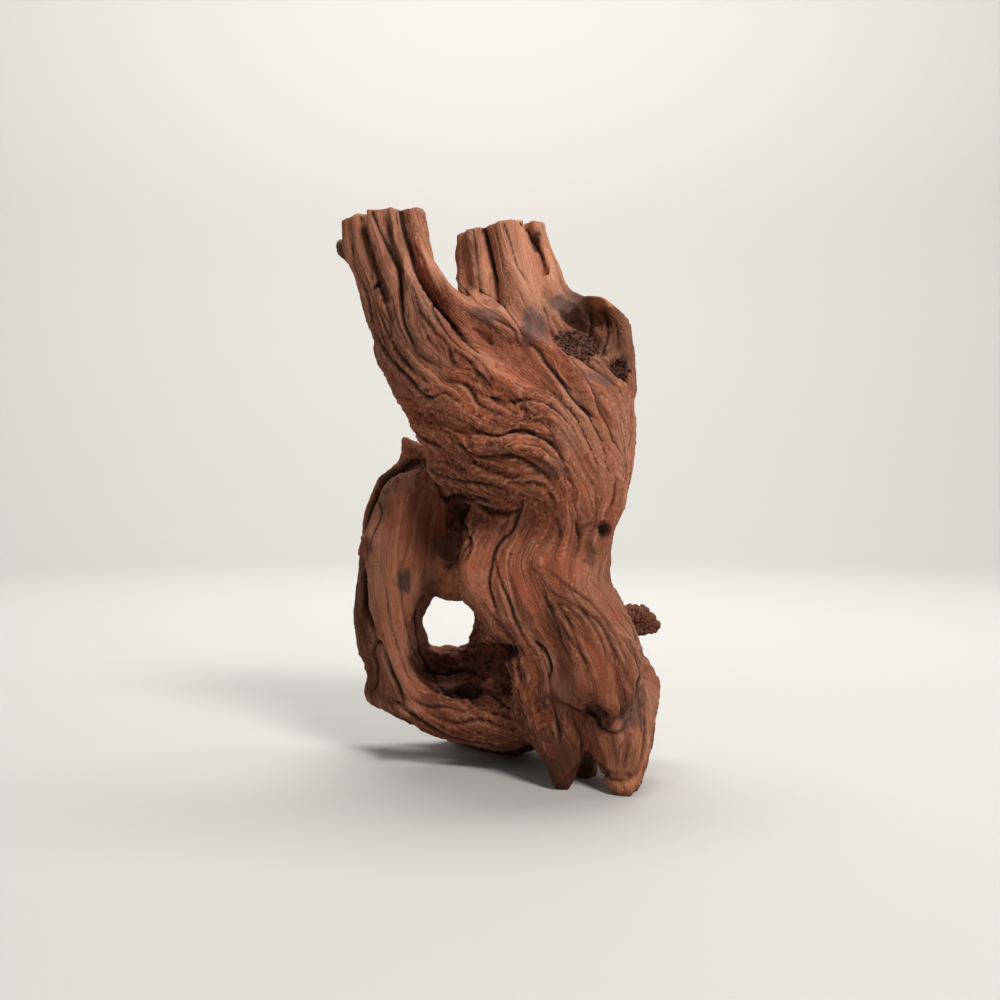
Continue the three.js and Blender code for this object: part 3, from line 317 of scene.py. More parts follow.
# Cracks, grooves and lifted edges on the front: depth, width and lift of the left edge in mm, then
# the line.
frontCracks = [
    (2.2, 1.5, 1.0, [(-45, 260), (-43, 249), (-40, 239), (-37, 230), (-34, 223), (-30, 217), (-25, 211),
        (-21, 206), (-16, 200), (-9, 194)]),
    (1.6, 1.1, 0.5, [(-58, 259), (-55, 253), (-52, 246), (-49, 239), (-46, 232), (-45, 225), (-44, 209),
        (-40, 199), (-36, 192), (-26, 186)]),
    (0.8, 1.2, 0.3, [(-64, 259), (-62, 252), (-60, 244)]),
    (1.0, 0.9, 0.3, [(-49, 218), (-46, 206), (-40, 195), (-33, 187)]),
    (0.9, 0.9, 0.3, [(-56, 216), (-51, 203), (-44, 190), (-38, 183)]),
    (1.2, 1.0, 0.8, [(-40, 227), (-38, 220), (-36, 213), (-31, 206), (-28, 202), (-23, 197), (-21, 190),
        (-18, 185)]),
    (1.2, 1.0, 0.9, [(-30, 216), (-28, 210), (-24, 204), (-19, 198), (-13, 194), (-8, 190), (-5, 186),
        (-2, 180)]),
    (1.7, 1.0, 1.0, [(-25, 180), (-17, 179), (-13, 177), (-10, 172), (-8, 169), (-3, 166), (1, 164)]),
    (1.5, 1.1, 0.9, [(-58, 204), (-52, 194), (-45, 185), (-38, 177), (-31, 172), (-24, 175),
        (-19, 171)]),
    (1.0, 0.9, 0.7, [(-10, 176), (-5, 173), (0, 171), (7, 170), (14, 171), (21, 170), (28, 166), (35, 159),
        (39, 152), (44, 148)]),
    (1.8, 1.0, 1.0, [(-12, 159), (-8, 156), (2, 154), (9, 156), (16, 155), (23, 152), (29, 147), (33, 139),
        (35, 133)]),
    (1.2, 0.9, 0.8, [(-8, 144), (2, 145), (11, 144), (18, 140), (23, 136), (26, 131)]),
    (2.0, 1.0, 0.9, [(16, 197), (20, 194), (23, 189), (28, 183), (32, 178), (37, 171), (42, 166),
        (47, 162)]),
    (1.4, 0.8, 0.3, [(37, 189), (42, 183), (45, 176), (49, 166), (53, 159), (56, 152), (59, 145),
        (61, 138)]),
    (0.9, 0.9, -0.6, [(30, 197), (39, 191), (49, 184), (56, 178), (59, 175)]),
    (1.7, 1.2, 0.4, [(-6, 253), (-4, 246), (-2, 237), (0, 227), (1, 218)]),
    (0.8, 1.1, 0.3, [(-11, 253), (-10, 244), (-9, 234), (-8, 225), (-7, 218)]),
    (1.3, 1.0, 0.5, [(12, 254), (15, 250), (17, 246), (21, 239), (23, 232)]),
    (0.9, 0.9, 0.4, [(4, 253), (7, 244), (10, 234), (16, 225)]),
    (1.5, 0.7, -0.6, [(13, 124), (11, 117), (8, 110), (3, 105), (0, 100), (-2, 92), (-3, 84), (-1, 77),
        (0, 71)]),
    (1.0, 1.0, 0.4, [(-8, 115), (-11, 108), (-15, 100), (-18, 93)]),
    (1.5, 0.9, -0.7, [(0, 96), (2, 86), (6, 77), (9, 68), (14, 58), (21, 49)]),
    (1.0, 1.2, 0.8, [(-3, 71), (4, 63), (9, 56), (11, 49), (13, 42), (14, 35)]),
    (1.8, 1.0, -0.5, [(18, 58), (23, 54), (26, 46), (25, 39)]),
    (0.7, 0.8, -0.6, [(18, 91), (25, 82), (37, 75), (47, 68), (54, 58), (58, 49), (63, 39), (65, 30)]),
    (0.6, 0.6, -0.5, [(22, 93), (32, 85), (43, 77), (52, 67), (58, 57), (62, 47)]),
    (0.5, 0.5, -0.4, [(30, 66), (36, 57), (42, 48), (46, 38)]),
    (0.5, 0.5, 0.4, [(44, 72), (51, 62), (55, 52), (57, 42), (56, 32)]),
    (1.1, 1.0, 0.5, [(44, 217), (45, 209), (44, 201), (42, 195)]),
    (1.3, 1.0, 0.6, [(49, 215), (52, 207), (52, 199), (49, 191)]),
    (1.0, 0.9, 0.5, [(55, 210), (57, 202), (57, 194)]),
    (1.3, 0.7, -0.6, [(50, -4), (54, -7), (59, -8), (63, -7), (66, -4)]),
    (1.0, 0.6, 0.3, [(58, -8), (60, -11), (61, -14)]),
    (0.9, 0.8, 0.4, [(21, 84), (24, 77), (28, 68), (31, 58), (35, 49), (39, 39)]),
    (0.9, 0.8, 0.4, [(26, 82), (31, 72), (36, 63), (39, 54), (43, 46)]),
    (0.9, 0.8, 0.4, [(37, 77), (43, 69), (48, 61), (51, 53), (52, 44)]),
    (1.0, 0.9, 0.8, [(-4, 210), (2, 208), (8, 204), (11, 197)]),
    (0.9, 0.8, 0.6, [(-19, 194), (-13, 189), (-8, 183), (-3, 178)]),
    (1.6, 1.3, 0.8, [(-23, 125), (-17, 126), (-10, 125), (-3, 123), (4, 120)]),
    (0.7, 0.8, 0.3, [(-43, 98), (-45, 89), (-44, 77), (-42, 65), (-39, 54), (-33, 43), (-26, 35)]),
    (0.7, 0.8, 0.3, [(-55, 96), (-52, 82), (-50, 68), (-46, 54), (-40, 39), (-33, 30), (-24, 23)]),
    (0.4, 0.6, 0.2, [(63, 21), (62, 9), (59, -3)]),
    (0.7, 0.7, 0.4, [(68, 30), (68, 16), (65, 2)]),
    (0.6, 0.7, 0.3, [(55, 11), (56, 2), (57, -8)]),
    (4.5, 2.6, 0.3, [(-62, 110), (-60, 119), (-56, 128), (-51, 135), (-43, 140), (-34, 142)]),
    (4.5, 2.2, -0.6, [(-62, 96), (-61, 82), (-59, 70), (-55, 58), (-51, 46), (-46, 35), (-43, 27)]),
    (0.9, 1.3, -1.6, [(28, 31), (34, 28), (40, 25), (46, 24)]),
    (2.2, 1.3, -1.2, [(42, 26), (45, 25), (48, 22), (49, 18), (52, 16)]),
    (0.8, 1.2, -1.2, [(49, 18), (52, 16), (56, 15), (60, 17), (62, 21)]),
    (1.8, 1.1, -1.2, [(59, 17), (62, 21), (63, 26), (65, 31), (66, 37), (67, 43), (65, 51)]),
    (1.3, 0.9, 0.7, [(-40, 31), (-32, 27), (-24, 27), (-16, 25)]),
    (1.2, 0.9, 0.7, [(-28, 22), (-18, 19), (-8, 21), (2, 17)]),
    (1.4, 1.0, 0.8, [(-22, 34), (-12, 31), (-2, 31), (6, 26)]),
    (1.0, 0.8, 0.6, [(-6, 26), (4, 22), (12, 20)]),
    (3.4, 1.8, -1.6, [(-27, 131), (-24, 125), (-18, 125), (-13, 124), (-8, 122), (-2, 119), (5, 118),
        (10, 119)]),
    (0.8, 0.6, 0.1, [(-59, 232), (-58, 228), (-57, 225)]),
    (2.4, 0.8, 0.1, [(-58, 223), (-56, 225), (-53, 227)]),
    (2.2, 1.4, -1.2, [(-12, 122), (-16, 115), (-13, 108), (-12, 101), (-15, 95)]),
    (1.5, 1.2, -0.6, [(-45, 27), (-38, 22), (-30, 17), (-22, 13), (-10, 10), (4, 8)]),
    (1.0, 0.9, 0.7, [(36, 20), (40, 13), (40, 4), (37, -3), (31, -9)]),
    (0.8, 0.8, 0.5, [(27, 26), (29, 18), (30, 8)]),
    (1.3, 0.7, -0.8, [(68, 30), (70, 23), (70, 14), (69, 4), (66, -4)]),
    (1.0, 0.9, 0.4, [(56, 133), (55, 124), (52, 116)]),
    (1.4, 1.2, 0.4, [(-39, 79), (-38, 68), (-37, 58), (-34, 49), (-28, 39), (-21, 30)]),
    (1.0, 0.8, 0.6, [(-21, 152), (-16, 148), (-12, 144), (-8, 140), (-2, 137), (4, 136)]),
    (1.0, 0.9, 0.6, [(-45, 162), (-39, 156), (-33, 152), (-26, 149), (-19, 145)]),
    (1.2, 0.9, 0.7, [(-31, 138), (-24, 135), (-17, 133), (-8, 132), (0, 130), (8, 128)]),
    (0.8, 0.6, 0.3, [(21, 180), (26, 175), (32, 169), (38, 162), (43, 152), (47, 143), (49, 133)]),
    (0.8, 0.6, 0.3, [(30, 181), (36, 175), (42, 166), (47, 157), (51, 148), (53, 136)]),
    (0.7, 0.6, 0.3, [(42, 181), (47, 173), (52, 164), (56, 156)]),
    (0.9, 0.7, 0.4, [(21, 218), (24, 211), (26, 204), (28, 197)]),
    (0.8, 0.7, 0.4, [(2, 218), (6, 211), (9, 206)]),
    (1.0, 0.7, 0.3, [(37, 115), (39, 105), (37, 97)]),
    (1.5, 0.8, 0.2, [(50, -6), (53, -4), (56, -5), (58, -4)]),
    (1.3, 0.7, 0.2, [(60, -6), (62, -5), (64, -7)]),
    (1.2, 0.8, -0.8, [(45, 4), (49, 0), (52, -6)]),
    (2.2, 1.4, -0.8, [(-48, 30), (-44, 27), (-40, 24), (-36, 20)]),
    (1.6, 1.0, 0.8, [(-30, 60), (-22, 56), (-12, 55), (-4, 57)]),
    (1.8, 1.2, 0.8, [(-34, 44), (-24, 42), (-15, 44), (-8, 41)]),
    (0.8, 0.7, 0.3, [(28, 117), (30, 108), (28, 100)]),
    (1.0, 0.8, 1.8, [(-10, 223), (-2, 219), (5, 213), (10, 206), (13, 199)]),
    (0.8, 0.6, 0.4, [(46, 213), (52, 210), (55, 202), (54, 192)]),
    (0.7, 0.6, 0.4, [(-62, 252), (-57, 236), (-53, 219), (-47, 203), (-40, 190)]),
    (0.7, 0.6, 0.4, [(-51, 252), (-47, 238), (-42, 224), (-37, 212), (-32, 200), (-26, 192)]),
    (1.4, 0.8, 0.9, [(-56, 134), (-57, 126), (-54, 118), (-58, 108), (-60, 100)]),
]

# The same on the back.
backCracks = [
    (2.4, 1.2, 0.8, [(-50, 259), (-44, 238), (-36, 218), (-24, 200), (-12, 184), (-4, 170)]),
    (1.2, 0.8, 0.5, [(-60, 259), (-56, 240), (-50, 220), (-42, 202)]),
    (1.4, 0.9, 0.5, [(-38, 240), (-28, 222), (-14, 206), (0, 192)]),
    (2.0, 1.1, 0.7, [(2, 252), (6, 236), (9, 220), (8, 204), (12, 188), (20, 172), (28, 156)]),
    (1.2, 0.8, 0.4, [(14, 252), (19, 232), (26, 214), (34, 198), (40, 182)]),
    (2.2, 1.2, 0.9, [(48, 190), (46, 170), (42, 150), (38, 130), (37, 110), (40, 92)]),
    (1.4, 0.9, 0.6, [(24, 160), (22, 140), (24, 118), (28, 96), (30, 74), (36, 52)]),
    (1.6, 1.0, 0.8, [(-22, 160), (-16, 144), (-10, 126), (-8, 106), (-4, 86), (-2, 64)]),
    (1.2, 0.9, 0.6, [(-52, 128), (-56, 108), (-57, 88), (-56, 68), (-50, 48)]),
    (1.0, 0.8, 0.5, [(-42, 120), (-47, 100), (-49, 80), (-48, 62)]),
    (1.4, 0.9, 0.7, [(44, 60), (48, 44), (50, 28), (51, 12)]),
    (1.6, 1.0, 0.8, [(-40, 40), (-24, 36), (-8, 38), (6, 46)]),
]

# The same on the flanks.
leftCracks = [
    (1.2, 0.9, 0.6, [(22, 255), (20, 235), (21, 215), (18, 190), (20, 165), (17, 145)]),
    (1.0, 0.8, 0.5, [(8, 255), (9, 238), (6, 220), (8, 200), (5, 180), (8, 160), (6, 142)]),
    (0.8, 0.8, 0.4, [(-4, 250), (-5, 230), (-8, 210), (-7, 190)]),
    (1.6, 1.0, 0.8, [(40, 118), (44, 100), (43, 80), (46, 60), (44, 40), (40, 22)]),
    (1.2, 0.9, 0.6, [(30, 124), (32, 108), (30, 92), (33, 74), (31, 56), (34, 38), (32, 20)]),
    (1.0, 0.8, 0.5, [(20, 120), (19, 104), (22, 88), (19, 70), (22, 52), (20, 36)]),
    (1.0, 0.8, -0.5, [(9, 112), (7, 96), (9, 80), (6, 64), (8, 48)]),
]
rightCracks = [
    (1.6, 1.0, 0.7, [(20, 176), (16, 158), (18, 140), (14, 122), (16, 104), (12, 86)]),
    (1.2, 0.9, 0.5, [(34, 190), (32, 170), (34, 150), (30, 130), (32, 110), (30, 92), (33, 76)]),
    (1.2, 0.8, 0.5, [(-8, 168), (-12, 150), (-14, 132), (-12, 114), (-16, 98)]),
    (1.0, 0.8, 0.5, [(2, 150), (-1, 132), (1, 114), (-3, 96)]),
    (1.4, 0.9, 0.6, [(-30, 90), (-34, 74), (-36, 58), (-34, 42), (-38, 28)]),
    (1.2, 0.8, 0.6, [(20, 50), (24, 36), (22, 22), (25, 8)]),
]
allCracks = {"front": frontCracks, "back": backCracks, "left": leftCracks, "right": rightCracks}

# Pits and lumps: across, up, half width, half height and depth in mm. A lump has a negative depth.
frontPits = [
    (43, 204, 10.5, 13, 9.5),
    (38, 209, 5, 6, 2.6),
    (47, 210, 3.4, 5, 1.6),
    (36, 199, 5, 6, 1.5),
    (58, 185, 4.4, 6, 5.0),
    (50, 219, 3.4, 2.4, -1.8),
    (16, 200, 3.5, 8, -0.7),
    (-31, 108, 6, 14, 2.0),
    (-22, 97, 5, 8, 1.0),
    (50, 110, 2.4, 2.8, 4.5),
    (44, 98, 1.6, 4, 1.5),
    (19, 245, 2.0, 4, 1.6),
    (-43, 88, 4, 8, 1.0),
    (-18, 116, 4.5, 9, 4.0),
    (-22, 101, 6, 6, -1.6),
    (-10, 118, 12, 4, 2.5),
    (2, 52, 6.5, 4, 7.0),
    (-26, 46, 8, 5, 2.0),
    (-16, 33, 6, 3.5, 2.0),
    (47, 26, 4.5, 2.8, 3.5),
    (59, 23, 1.3, 3.4, 3.0),
    (62, 201, 4, 12, -1.8),
    (47, 218, 5, 3, -1.6),
    (-1, 38, 6.5, 5, -3.5),
    (-43, 25, 6, 3.5, -2.5),
    (-14, 48, 4, 4, 3.5),
    (-30, 50, 3.5, 4, -2.0),
    (-60, 68, 3.5, 12, 2.5),
    (-57, 42, 4, 8, 2.5),
    (42, 35, 8, 7, -2.0),
    (54, 25, 3.6, 6, -2.0),
    (64, 33, 3, 7, -1.4),
    (-9, 127, 14, 4, -1.6),
    (-41, 25, 5, 2.6, -2.6),
    (59, 178, 2.6, 2.6, -2.0),
    (-3, 45, 7, 5, -2.5),
    (5, 53, 5, 4, 4.0),
]
backPits = [
    (30, 214, 4.5, 6, 4.5),
    (30, 214, 8, 10, -2.4),
    (-30, 150, 7, 9, -3.0),
    (-30, 149, 3, 4, 3.6),
    (12, 120, 4, 12, 2.5),
    (48, 84, 3, 7, 3.0),
    (-12, 60, 6, 7, 3.0),
    (-54, 76, 4, 8, -2.0),
]

# Edges that are drawn in: the middle, the reach across and up, and the way they move, in mm.
nudges = [
    ((-22, 81), (9, 6), (0.0, -3.2)),
    ((-33, 79), (5, 6), (3.0, -2.2)),
    ((-36, 70), (4, 5), (2.2, 0.0)),
    ((-35, 58), (4, 4), (0.8, 1.2)),
    ((-22, 57), (8, 4), (0.0, 1.4)),
    ((-9, 68), (4, 5), (2.2, 0.0)),
    ((-11, 78), (4, 4), (1.6, -1.4)),
    ((-66, 259), (8, 9), (0.0, 2.0)),
    ((69, -5), (5, 8), (-3.4, 0.0)),
    ((47, -6), (4, 6), (1.6, 0.0)),
    ((22, -4), (5, 5), (1.6, 0.0)),
    ((39, -7), (5, 5), (-2.6, 0.0)),
    ((-66, 102), (4, 5), (2.6, 0.8)),
]

# Saw cuts at the upper ends: the middle of each, the way it faces and its reach, in mm.
sawCuts = [
    ((-52.7, 3.2, 257.4), (-0.12, -0.05, 1.0), 32),
    ((1.3, 7.2, 253.1), (-0.14, -0.08, 1.0), 26),
]

# Stains and painted shade: across, up, half width and half height in mm, then how grey, how dark, how much
# like bark and how crumbly. The dark share is partly real dark stains and partly painted shade in pits and
# recesses. The last ones may be left out when they are nought.
backStainsAndShade = [
    (30, 214, 4.5, 6, 0, 0.8),
    (-30, 149, 3.4, 4.4, 0, 0.8),
    (12, 120, 5, 14, 0, 0.5),
    (48, 84, 3, 8, 0, 0.7),
    (-12, 60, 7, 8, 0, 0.5),
    (-20, 190, 8, 12, 0.8),
    (46, 160, 7, 14, 0.7),
    (-50, 100, 5, 9, 0.8, 0.1),
    (66, 67, 12, 11, 0, 0.3, 1.0),
]
frontStainsAndShade = [
    (18, 206, 5.5, 9.5, 1.0),
    (14.5, 203, 2.4, 9, 0.3, 0.45),
    (36, 217, 7, 6, 0.7, 0.15),
    (-4, 211, 6, 4, 0.7, 0.1),
    (50, 181, 8, 3, 0.7),
    (60, 188, 3, 6, 0.5, 0.4),
    (25, 139, 7, 4, 0.4, 0.2),
    (62, 22, 6, 5, 0.7, 0.1),
    (38, 209, 7.5, 8, 0.3, 0.55),
    (40, 197, 9, 8, 0.1, 0.6),
    (30, 216, 6, 5, 0.9, 0.2),
    (-34, 112, 10, 20, 0, 0.25),
    (-74, 240, 5, 7, 0, 0.65),
    (43, 2, 5, 6, 0, 0.7),
    (31, 4, 7, 9, 0, 0.3),
    (58, -5, 8, 1.8, 0, 0.5),
    (66, 27, 4, 9, 0.3, 0.4),
    (49, 22, 7, 4, 0, 0.55),
    (-50, 246, 2.0, 12, 0, 0.4),
    (-45, 240, 2.0, 16, 0, 0.4),
    (-14, 240, 5, 20, 0, 0.2),
    (-65, 102, 3, 4, 0, 0.5),
    (53, -6, 4, 2.4, 0, 0.5),
    (57, 185, 4.5, 5.5, 0.1, 0.8),
    (50, 110, 3, 3.4, 0, 0.95),
    (44, 98, 2.2, 6, 0, 0.55),
    (-43, 87, 3.6, 5.4, 0.3, 0.85),
    (-23, 101, 7.5, 7, 0.2, 0.62),
    (-17, 118, 4, 9, 0, 0.8),
    (-48, 136, 14, 5, 0, 0.65),
    (-12, 45, 24, 12, 0, 0.45),
    (4, 53, 8, 6, 0, 0.95),
    (68, 66, 14, 12, 0, 0.3, 1.0),
    (47, 25, 6, 3, 0, 0.7),
    (19, 245, 2.2, 5, 0, 0.8),
    (-55, 223, 3, 3, 0, 0.5),
    (39.5, 197, 8.5, 7.0, 0, 0.8, 0, 1.0),
    (58, 185, 3.8, 5.4, 0, 0.6, 0, 1.0),
    (-64, 75, 5, 36, 0, 0.5),
    (-58, 40, 7, 14, 0, 0.45),
    (-54, 26, 6, 5, 0, 0.4),
    (-30, 84, 5, 9, 0, 0.5),
    (-12, 34, 18, 7, 0, 0.5),
    (-60, 128, 5, 10, 0, 0.45),
    (26, 30, 7, 4, 0, 0.25),
]

# Freshly broken wood: across, up, half width and half height in mm, and its share.
freshSpots = [
    (50, 217, 5.5, 3.0, 0.9),
    (59, 177, 3, 2.4, 0.8),
    (-45, 27, 5, 3, 0.8),
    (2, 43, 6, 5, 0.5),
    (59, -8, 7, 4.5, 0.9),
    (68, 6, 2.2, 12, 0.5),
    (61, 72, 3.5, 6, 0.6),
]

# How each stretch looks: across, up and reach in mm, then shares of ridges, of stepped layers, of waves,
# of red and of brightness. The brightness is partly the wood's own lightness and partly painted shade and
# light:
# darker towards the bottom and in recesses, brighter near the top.
stretches = [
    (-54, 238, 24, 0.50, 0.10, 0.15, 0.25, 1.10),
    (-38, 240, 9, 0.50, 0.10, 0.15, 0.25, 1.60),
    (-36, 200, 20, 0.60, 0.50, 0.30, 0.45, 0.90),
    (3, 238, 24, 0.36, 0.06, 0.15, 0.10, 1.40),
    (50, 200, 20, 0.42, 0.25, 0.40, 0.40, 0.72),
    (2, 155, 22, 0.80, 1.00, 0.90, 0.75, 1.12),
    (-6, 190, 18, 0.50, 0.55, 0.50, 0.70, 1.12),
    (14, 184, 14, 0.50, 0.55, 0.50, 0.70, 1.12),
    (42, 152, 22, 0.52, 0.50, 0.35, 0.40, 1.16),
    (0, 134, 20, 0.95, 0.95, 1.00, 0.90, 0.80),
    (16, 102, 20, 0.60, 0.35, 0.50, 0.65, 1.20),
    (-12, 96, 14, 0.60, 0.30, 0.50, 0.55, 1.20),
    (-52, 95, 16, 0.16, 0.05, 0.20, 0.40, 0.92),
    (-36, 112, 12, 0.20, 0.03, 0.20, 0.75, 0.75),
    (-44, 50, 16, 0.28, 0.08, 0.30, 0.45, 0.94),
    (-70, 100, 9, 0.70, 0.40, 0.40, 0.60, 0.85),
    (-69, 50, 9, 0.70, 0.40, 0.40, 0.60, 0.85),
    (-8, 45, 16, 1.30, 1.00, 1.40, 0.90, 0.80),
    (-5, 22, 18, 0.95, 0.90, 0.90, 1.00, 0.62),
    (40, 65, 22, 0.55, 0.20, 0.25, 0.55, 0.86),
    (60, 18, 16, 0.40, 0.14, 0.25, 0.45, 0.96),
    (28, 6, 10, 0.20, 0.06, 0.20, 1.00, 0.26),
]

wood = {
    "voxel": 0.95,  # mm
    "triangles": 197000,
    "smoothRounds": 8,
    "facingRounds": (8, 4),  # for the pits, then for the relief
    "hollowRounds": 14,
    "seed": 23,
    "outside": 300,  # mm, from where the back and the flanks are looked for
    "fieldGap": 3.0,  # mm between points of a drawn line
    "fieldCell": 3.0,  # mm
    "fieldReach": 6.0,
    "jump": 1.5,  # mm off the wood, where a drawn line leaps from one part to another
    "step": 1.8,  # mm along a fibre
    "steps": 28,  # to each side
    "endDepth": 4.6,  # mm, over which rounded ends are drawn up to the saw's plane
    "coarse": (5.2, 0.42),  # width of the noise in mm, height in mm
    "middle": (2.3, 0.29),
    "fine": (1.2, 0.22),
    "crumble": (1.7, 0.14),
    "ragged": (2.2, 0.30),  # width in mm and share, of a stain's edge
    "layers": 1.7,
    "layerHeight": 0.76,
    "layerLean": 0.35,  # what the middle ridges add to the layers
    "flankRidges": 0.40,  # what the flanks have more of
    "flankLayers": 0.30,
    "drop": 0.78,  # a layer's share before its edge falls off
    "wave": 3.0,
    "waveLengths": (22.0, 8.0),  # mm
    "pitReach": 13,  # mm, from a pit's middle towards the other side
    "stainReach": 18,
    "crackGap": 0.4,  # mm between points of a crack
    "crackReach": 7.0,  # mm, as far as its lifted edge is felt
    "crackWidth": 0.8,  # share of the listed widths
    "narrowest": 0.8,  # mm, so that a crack doesn't fall between the mesh's points
    "liftLength": 2.6,  # mm
    "sawnFrom": 238,  # mm, level faces above it are sawn ends
    "sawnCalm": 0.75,  # share of the relief that the saw took away
}


def baseWood(node):
    mesh = node.data.copy()
    shape = bmesh.new()
    shape.from_mesh(mesh)
    bmesh.ops.remove_doubles(shape, verts=shape.verts, dist=1e-6)
    bmesh.ops.recalc_face_normals(shape, faces=shape.faces)
    shape.to_mesh(mesh)
    shape.free()
    made = linked("wood", mesh)
    rounded = made.modifiers.new("rounded", "SUBSURF")
    rounded.levels = 2
    rounded.render_levels = 2
    even = made.modifiers.new("even", "REMESH")
    even.mode = "VOXEL"
    even.voxel_size = wood["voxel"] * mm
    even.use_smooth_shade = True
    return applied(made)


def applied(made):
    old = made.data
    seen = made.evaluated_get(bpy.context.evaluated_depsgraph_get())
    made.data = bpy.data.meshes.new_from_object(seen)
    made.modifiers.clear()
    bpy.data.meshes.remove(old)
    made.data.name = made.name
    return made


def movePoints(mesh, points):
    mesh.vertices.foreach_set("co", points.astype(np.float32).ravel())
    mesh.update()


def keepInside(mesh):
    low = np.array(cadBox[0]) + 1e-5
    low[2] = 0  # the floor
    movePoints(mesh, np.clip(readPoints(mesh), low, np.array(cadBox[1]) - 1e-5))


class Sheet:
    # finds the wood behind a point that is drawn on the upright sheet
    def __init__(self, made):
        self.tree = BVHTree.FromObject(made, bpy.context.evaluated_depsgraph_get())

    def front(self, across, up):
        target = Vector((across + camera["sheet"][0], camera["sheet"][1], up)) * mm
        eye = Vector(camera["eye"]) * mm
        return self.nearest(self.tree.ray_cast(eye, (target - eye).normalized()), target)

    def back(self, across, up):
        target = Vector((across + camera["sheet"][0], camera["sheet"][1], up)) * mm
        start = target + Vector((0, wood["outside"], 0)) * mm
        return self.nearest(self.tree.ray_cast(start, Vector((0, -1, 0))), target)

    def flank(self, sense, across, up):
        start = Vector((sense * wood["outside"], across, up)) * mm
        return self.nearest(self.tree.ray_cast(start, Vector((-sense, 0, 0))), start)

    def left(self, across, up):
        return self.flank(-1, across, up)

    def right(self, across, up):
        return self.flank(1, across, up)

    def nearest(self, hit, target):
        if hit[0] is None:
            hit = self.tree.find_nearest(target)
        return np.array(hit[0]), np.array(hit[1])

    def line(self, side, points, gap):
        found = [getattr(self, side)(*place) for place in curved(points)]
        places = evenly(np.array([place for place, _ in found]), gap * mm)
        ways = unit(np.gradient(places, axis=0))
        hits = [self.tree.find_nearest(Vector(place)) for place in places]
        lying = np.array([hit[3] < wood["jump"] * mm for hit in hits])  # leaves out what bridges a gap
        normals = np.array([hit[1] for hit in hits])
        return places[lying], ways[lying], normals[lying]


def fibreField(sheet):
    places, ways = [], []
    for side, lines in grainLines.items():
        for points in lines:
            found, tangents, _ = sheet.line(side, points, wood["fieldGap"])
            places.append(found)
            ways.append(tangents)
    places = np.concatenate(places) / mm
    ways = np.concatenate(ways)
    low = np.array(cadBox[0]) / mm - 8
    high = np.array(cadBox[1]) / mm + 8
    sizes = np.ceil((high - low) / wood["fieldCell"]).astype(int) + 1
    axes = [low[axis] + wood["fieldCell"] * np.arange(sizes[axis]) for axis in range(3)]
    nodes = np.stack(np.meshgrid(*axes, indexing="ij"), axis=-1).reshape(-1, 3)
    found = np.empty_like(nodes)
    for start in range(0, len(nodes), 6000):
        part = nodes[start:start + 6000]
        gap = ((part ** 2).sum(1)[:, None] + (places ** 2).sum(1)[None] - 2 * part @ places.T)
        weight = (1 + np.maximum(gap, 0) / wood["fieldReach"] ** 2) ** -3
        found[start:start + 6000] = weight @ ways
    return low, sizes, unit(found).astype(np.float32).reshape(*sizes, 3)


def dragged(points, field, lattice, widths):
    low, sizes, ways = field
    totals = np.zeros((len(widths), len(points)), np.float32)
    for sense in (1, -1):
        here = points.astype(np.float32).copy()
        for step in range(wood["steps"]):
            share = 0.5 + 0.5 * math.cos(math.pi * step / wood["steps"])
            if step > 0 or sense > 0:
                for row, width in enumerate(widths):
                    totals[row] += share * noiseAt(lattice, here / width + 7.3 * row)
            cell = np.rint((here - low) / wood["fieldCell"]).astype(int)
            cell = np.clip(cell, 0, sizes - 1)
            here += sense * wood["step"] * ways[cell[:, 0], cell[:, 1], cell[:, 2]]
    return [(total - total.mean()) / total.std() for total in totals]


def shares(points):
    flat = points[:, [0, 2]] - [camera["sheet"][0], 0]
    total = np.zeros((len(points), 5))
    weight = np.zeros(len(points))
    for across, up, reach, *values in stretches:
        gap = ((flat - [across, up]) ** 2).sum(1) / reach ** 2
        now = (1 + gap) ** -3
        total += now[:, None] * values
        weight += now
    return (total / weight[:, None]).T


def squareEnds(points):
    for middle, facing, reach in sawCuts:
        way = np.array(facing) / np.linalg.norm(facing)
        depth = -(points - middle) @ way
        near = np.linalg.norm(points - middle, axis=1) < reach
        near &= (depth > -1) & (depth < wood["endDepth"])
        wanted = np.maximum(depth[near], 0) ** 3 / wood["endDepth"] ** 2
        points[near] += (depth[near] - wanted)[:, None] * way
    return points


def nudged(points):
    for middle, (wide, tall), (across, up) in nudges:
        away = ((points[:, 0] - middle[0]) / wide) ** 2 + ((points[:, 2] - middle[1]) / tall) ** 2
        points = points + np.exp(-away)[:, None] * np.array([across, 0, up])
    return points


def bothSides(front, back):
    return [("front", -1.0, row) for row in front] + [("back", 1.0, row) for row in back]


def pitted(points, normals, sheet):
    for side, sense, (across, up, wide, tall, deep) in bothSides(frontPits, backPits):
        middle, way = getattr(sheet, side)(across, up)
        middle = middle / mm
        away = ((points[:, 0] - middle[0]) / wide) ** 2 + ((points[:, 2] - middle[2]) / tall) ** 2
        share = np.exp(-away ** 2) * np.exp(-((points[:, 1] - middle[1]) / wood["pitReach"]) ** 2)
        share *= ramp(sense * normals[:, 1], -0.35, 0.15)
        points = points - (deep * share)[:, None] * unit(way + np.array([0, sense, 0]))
    return points


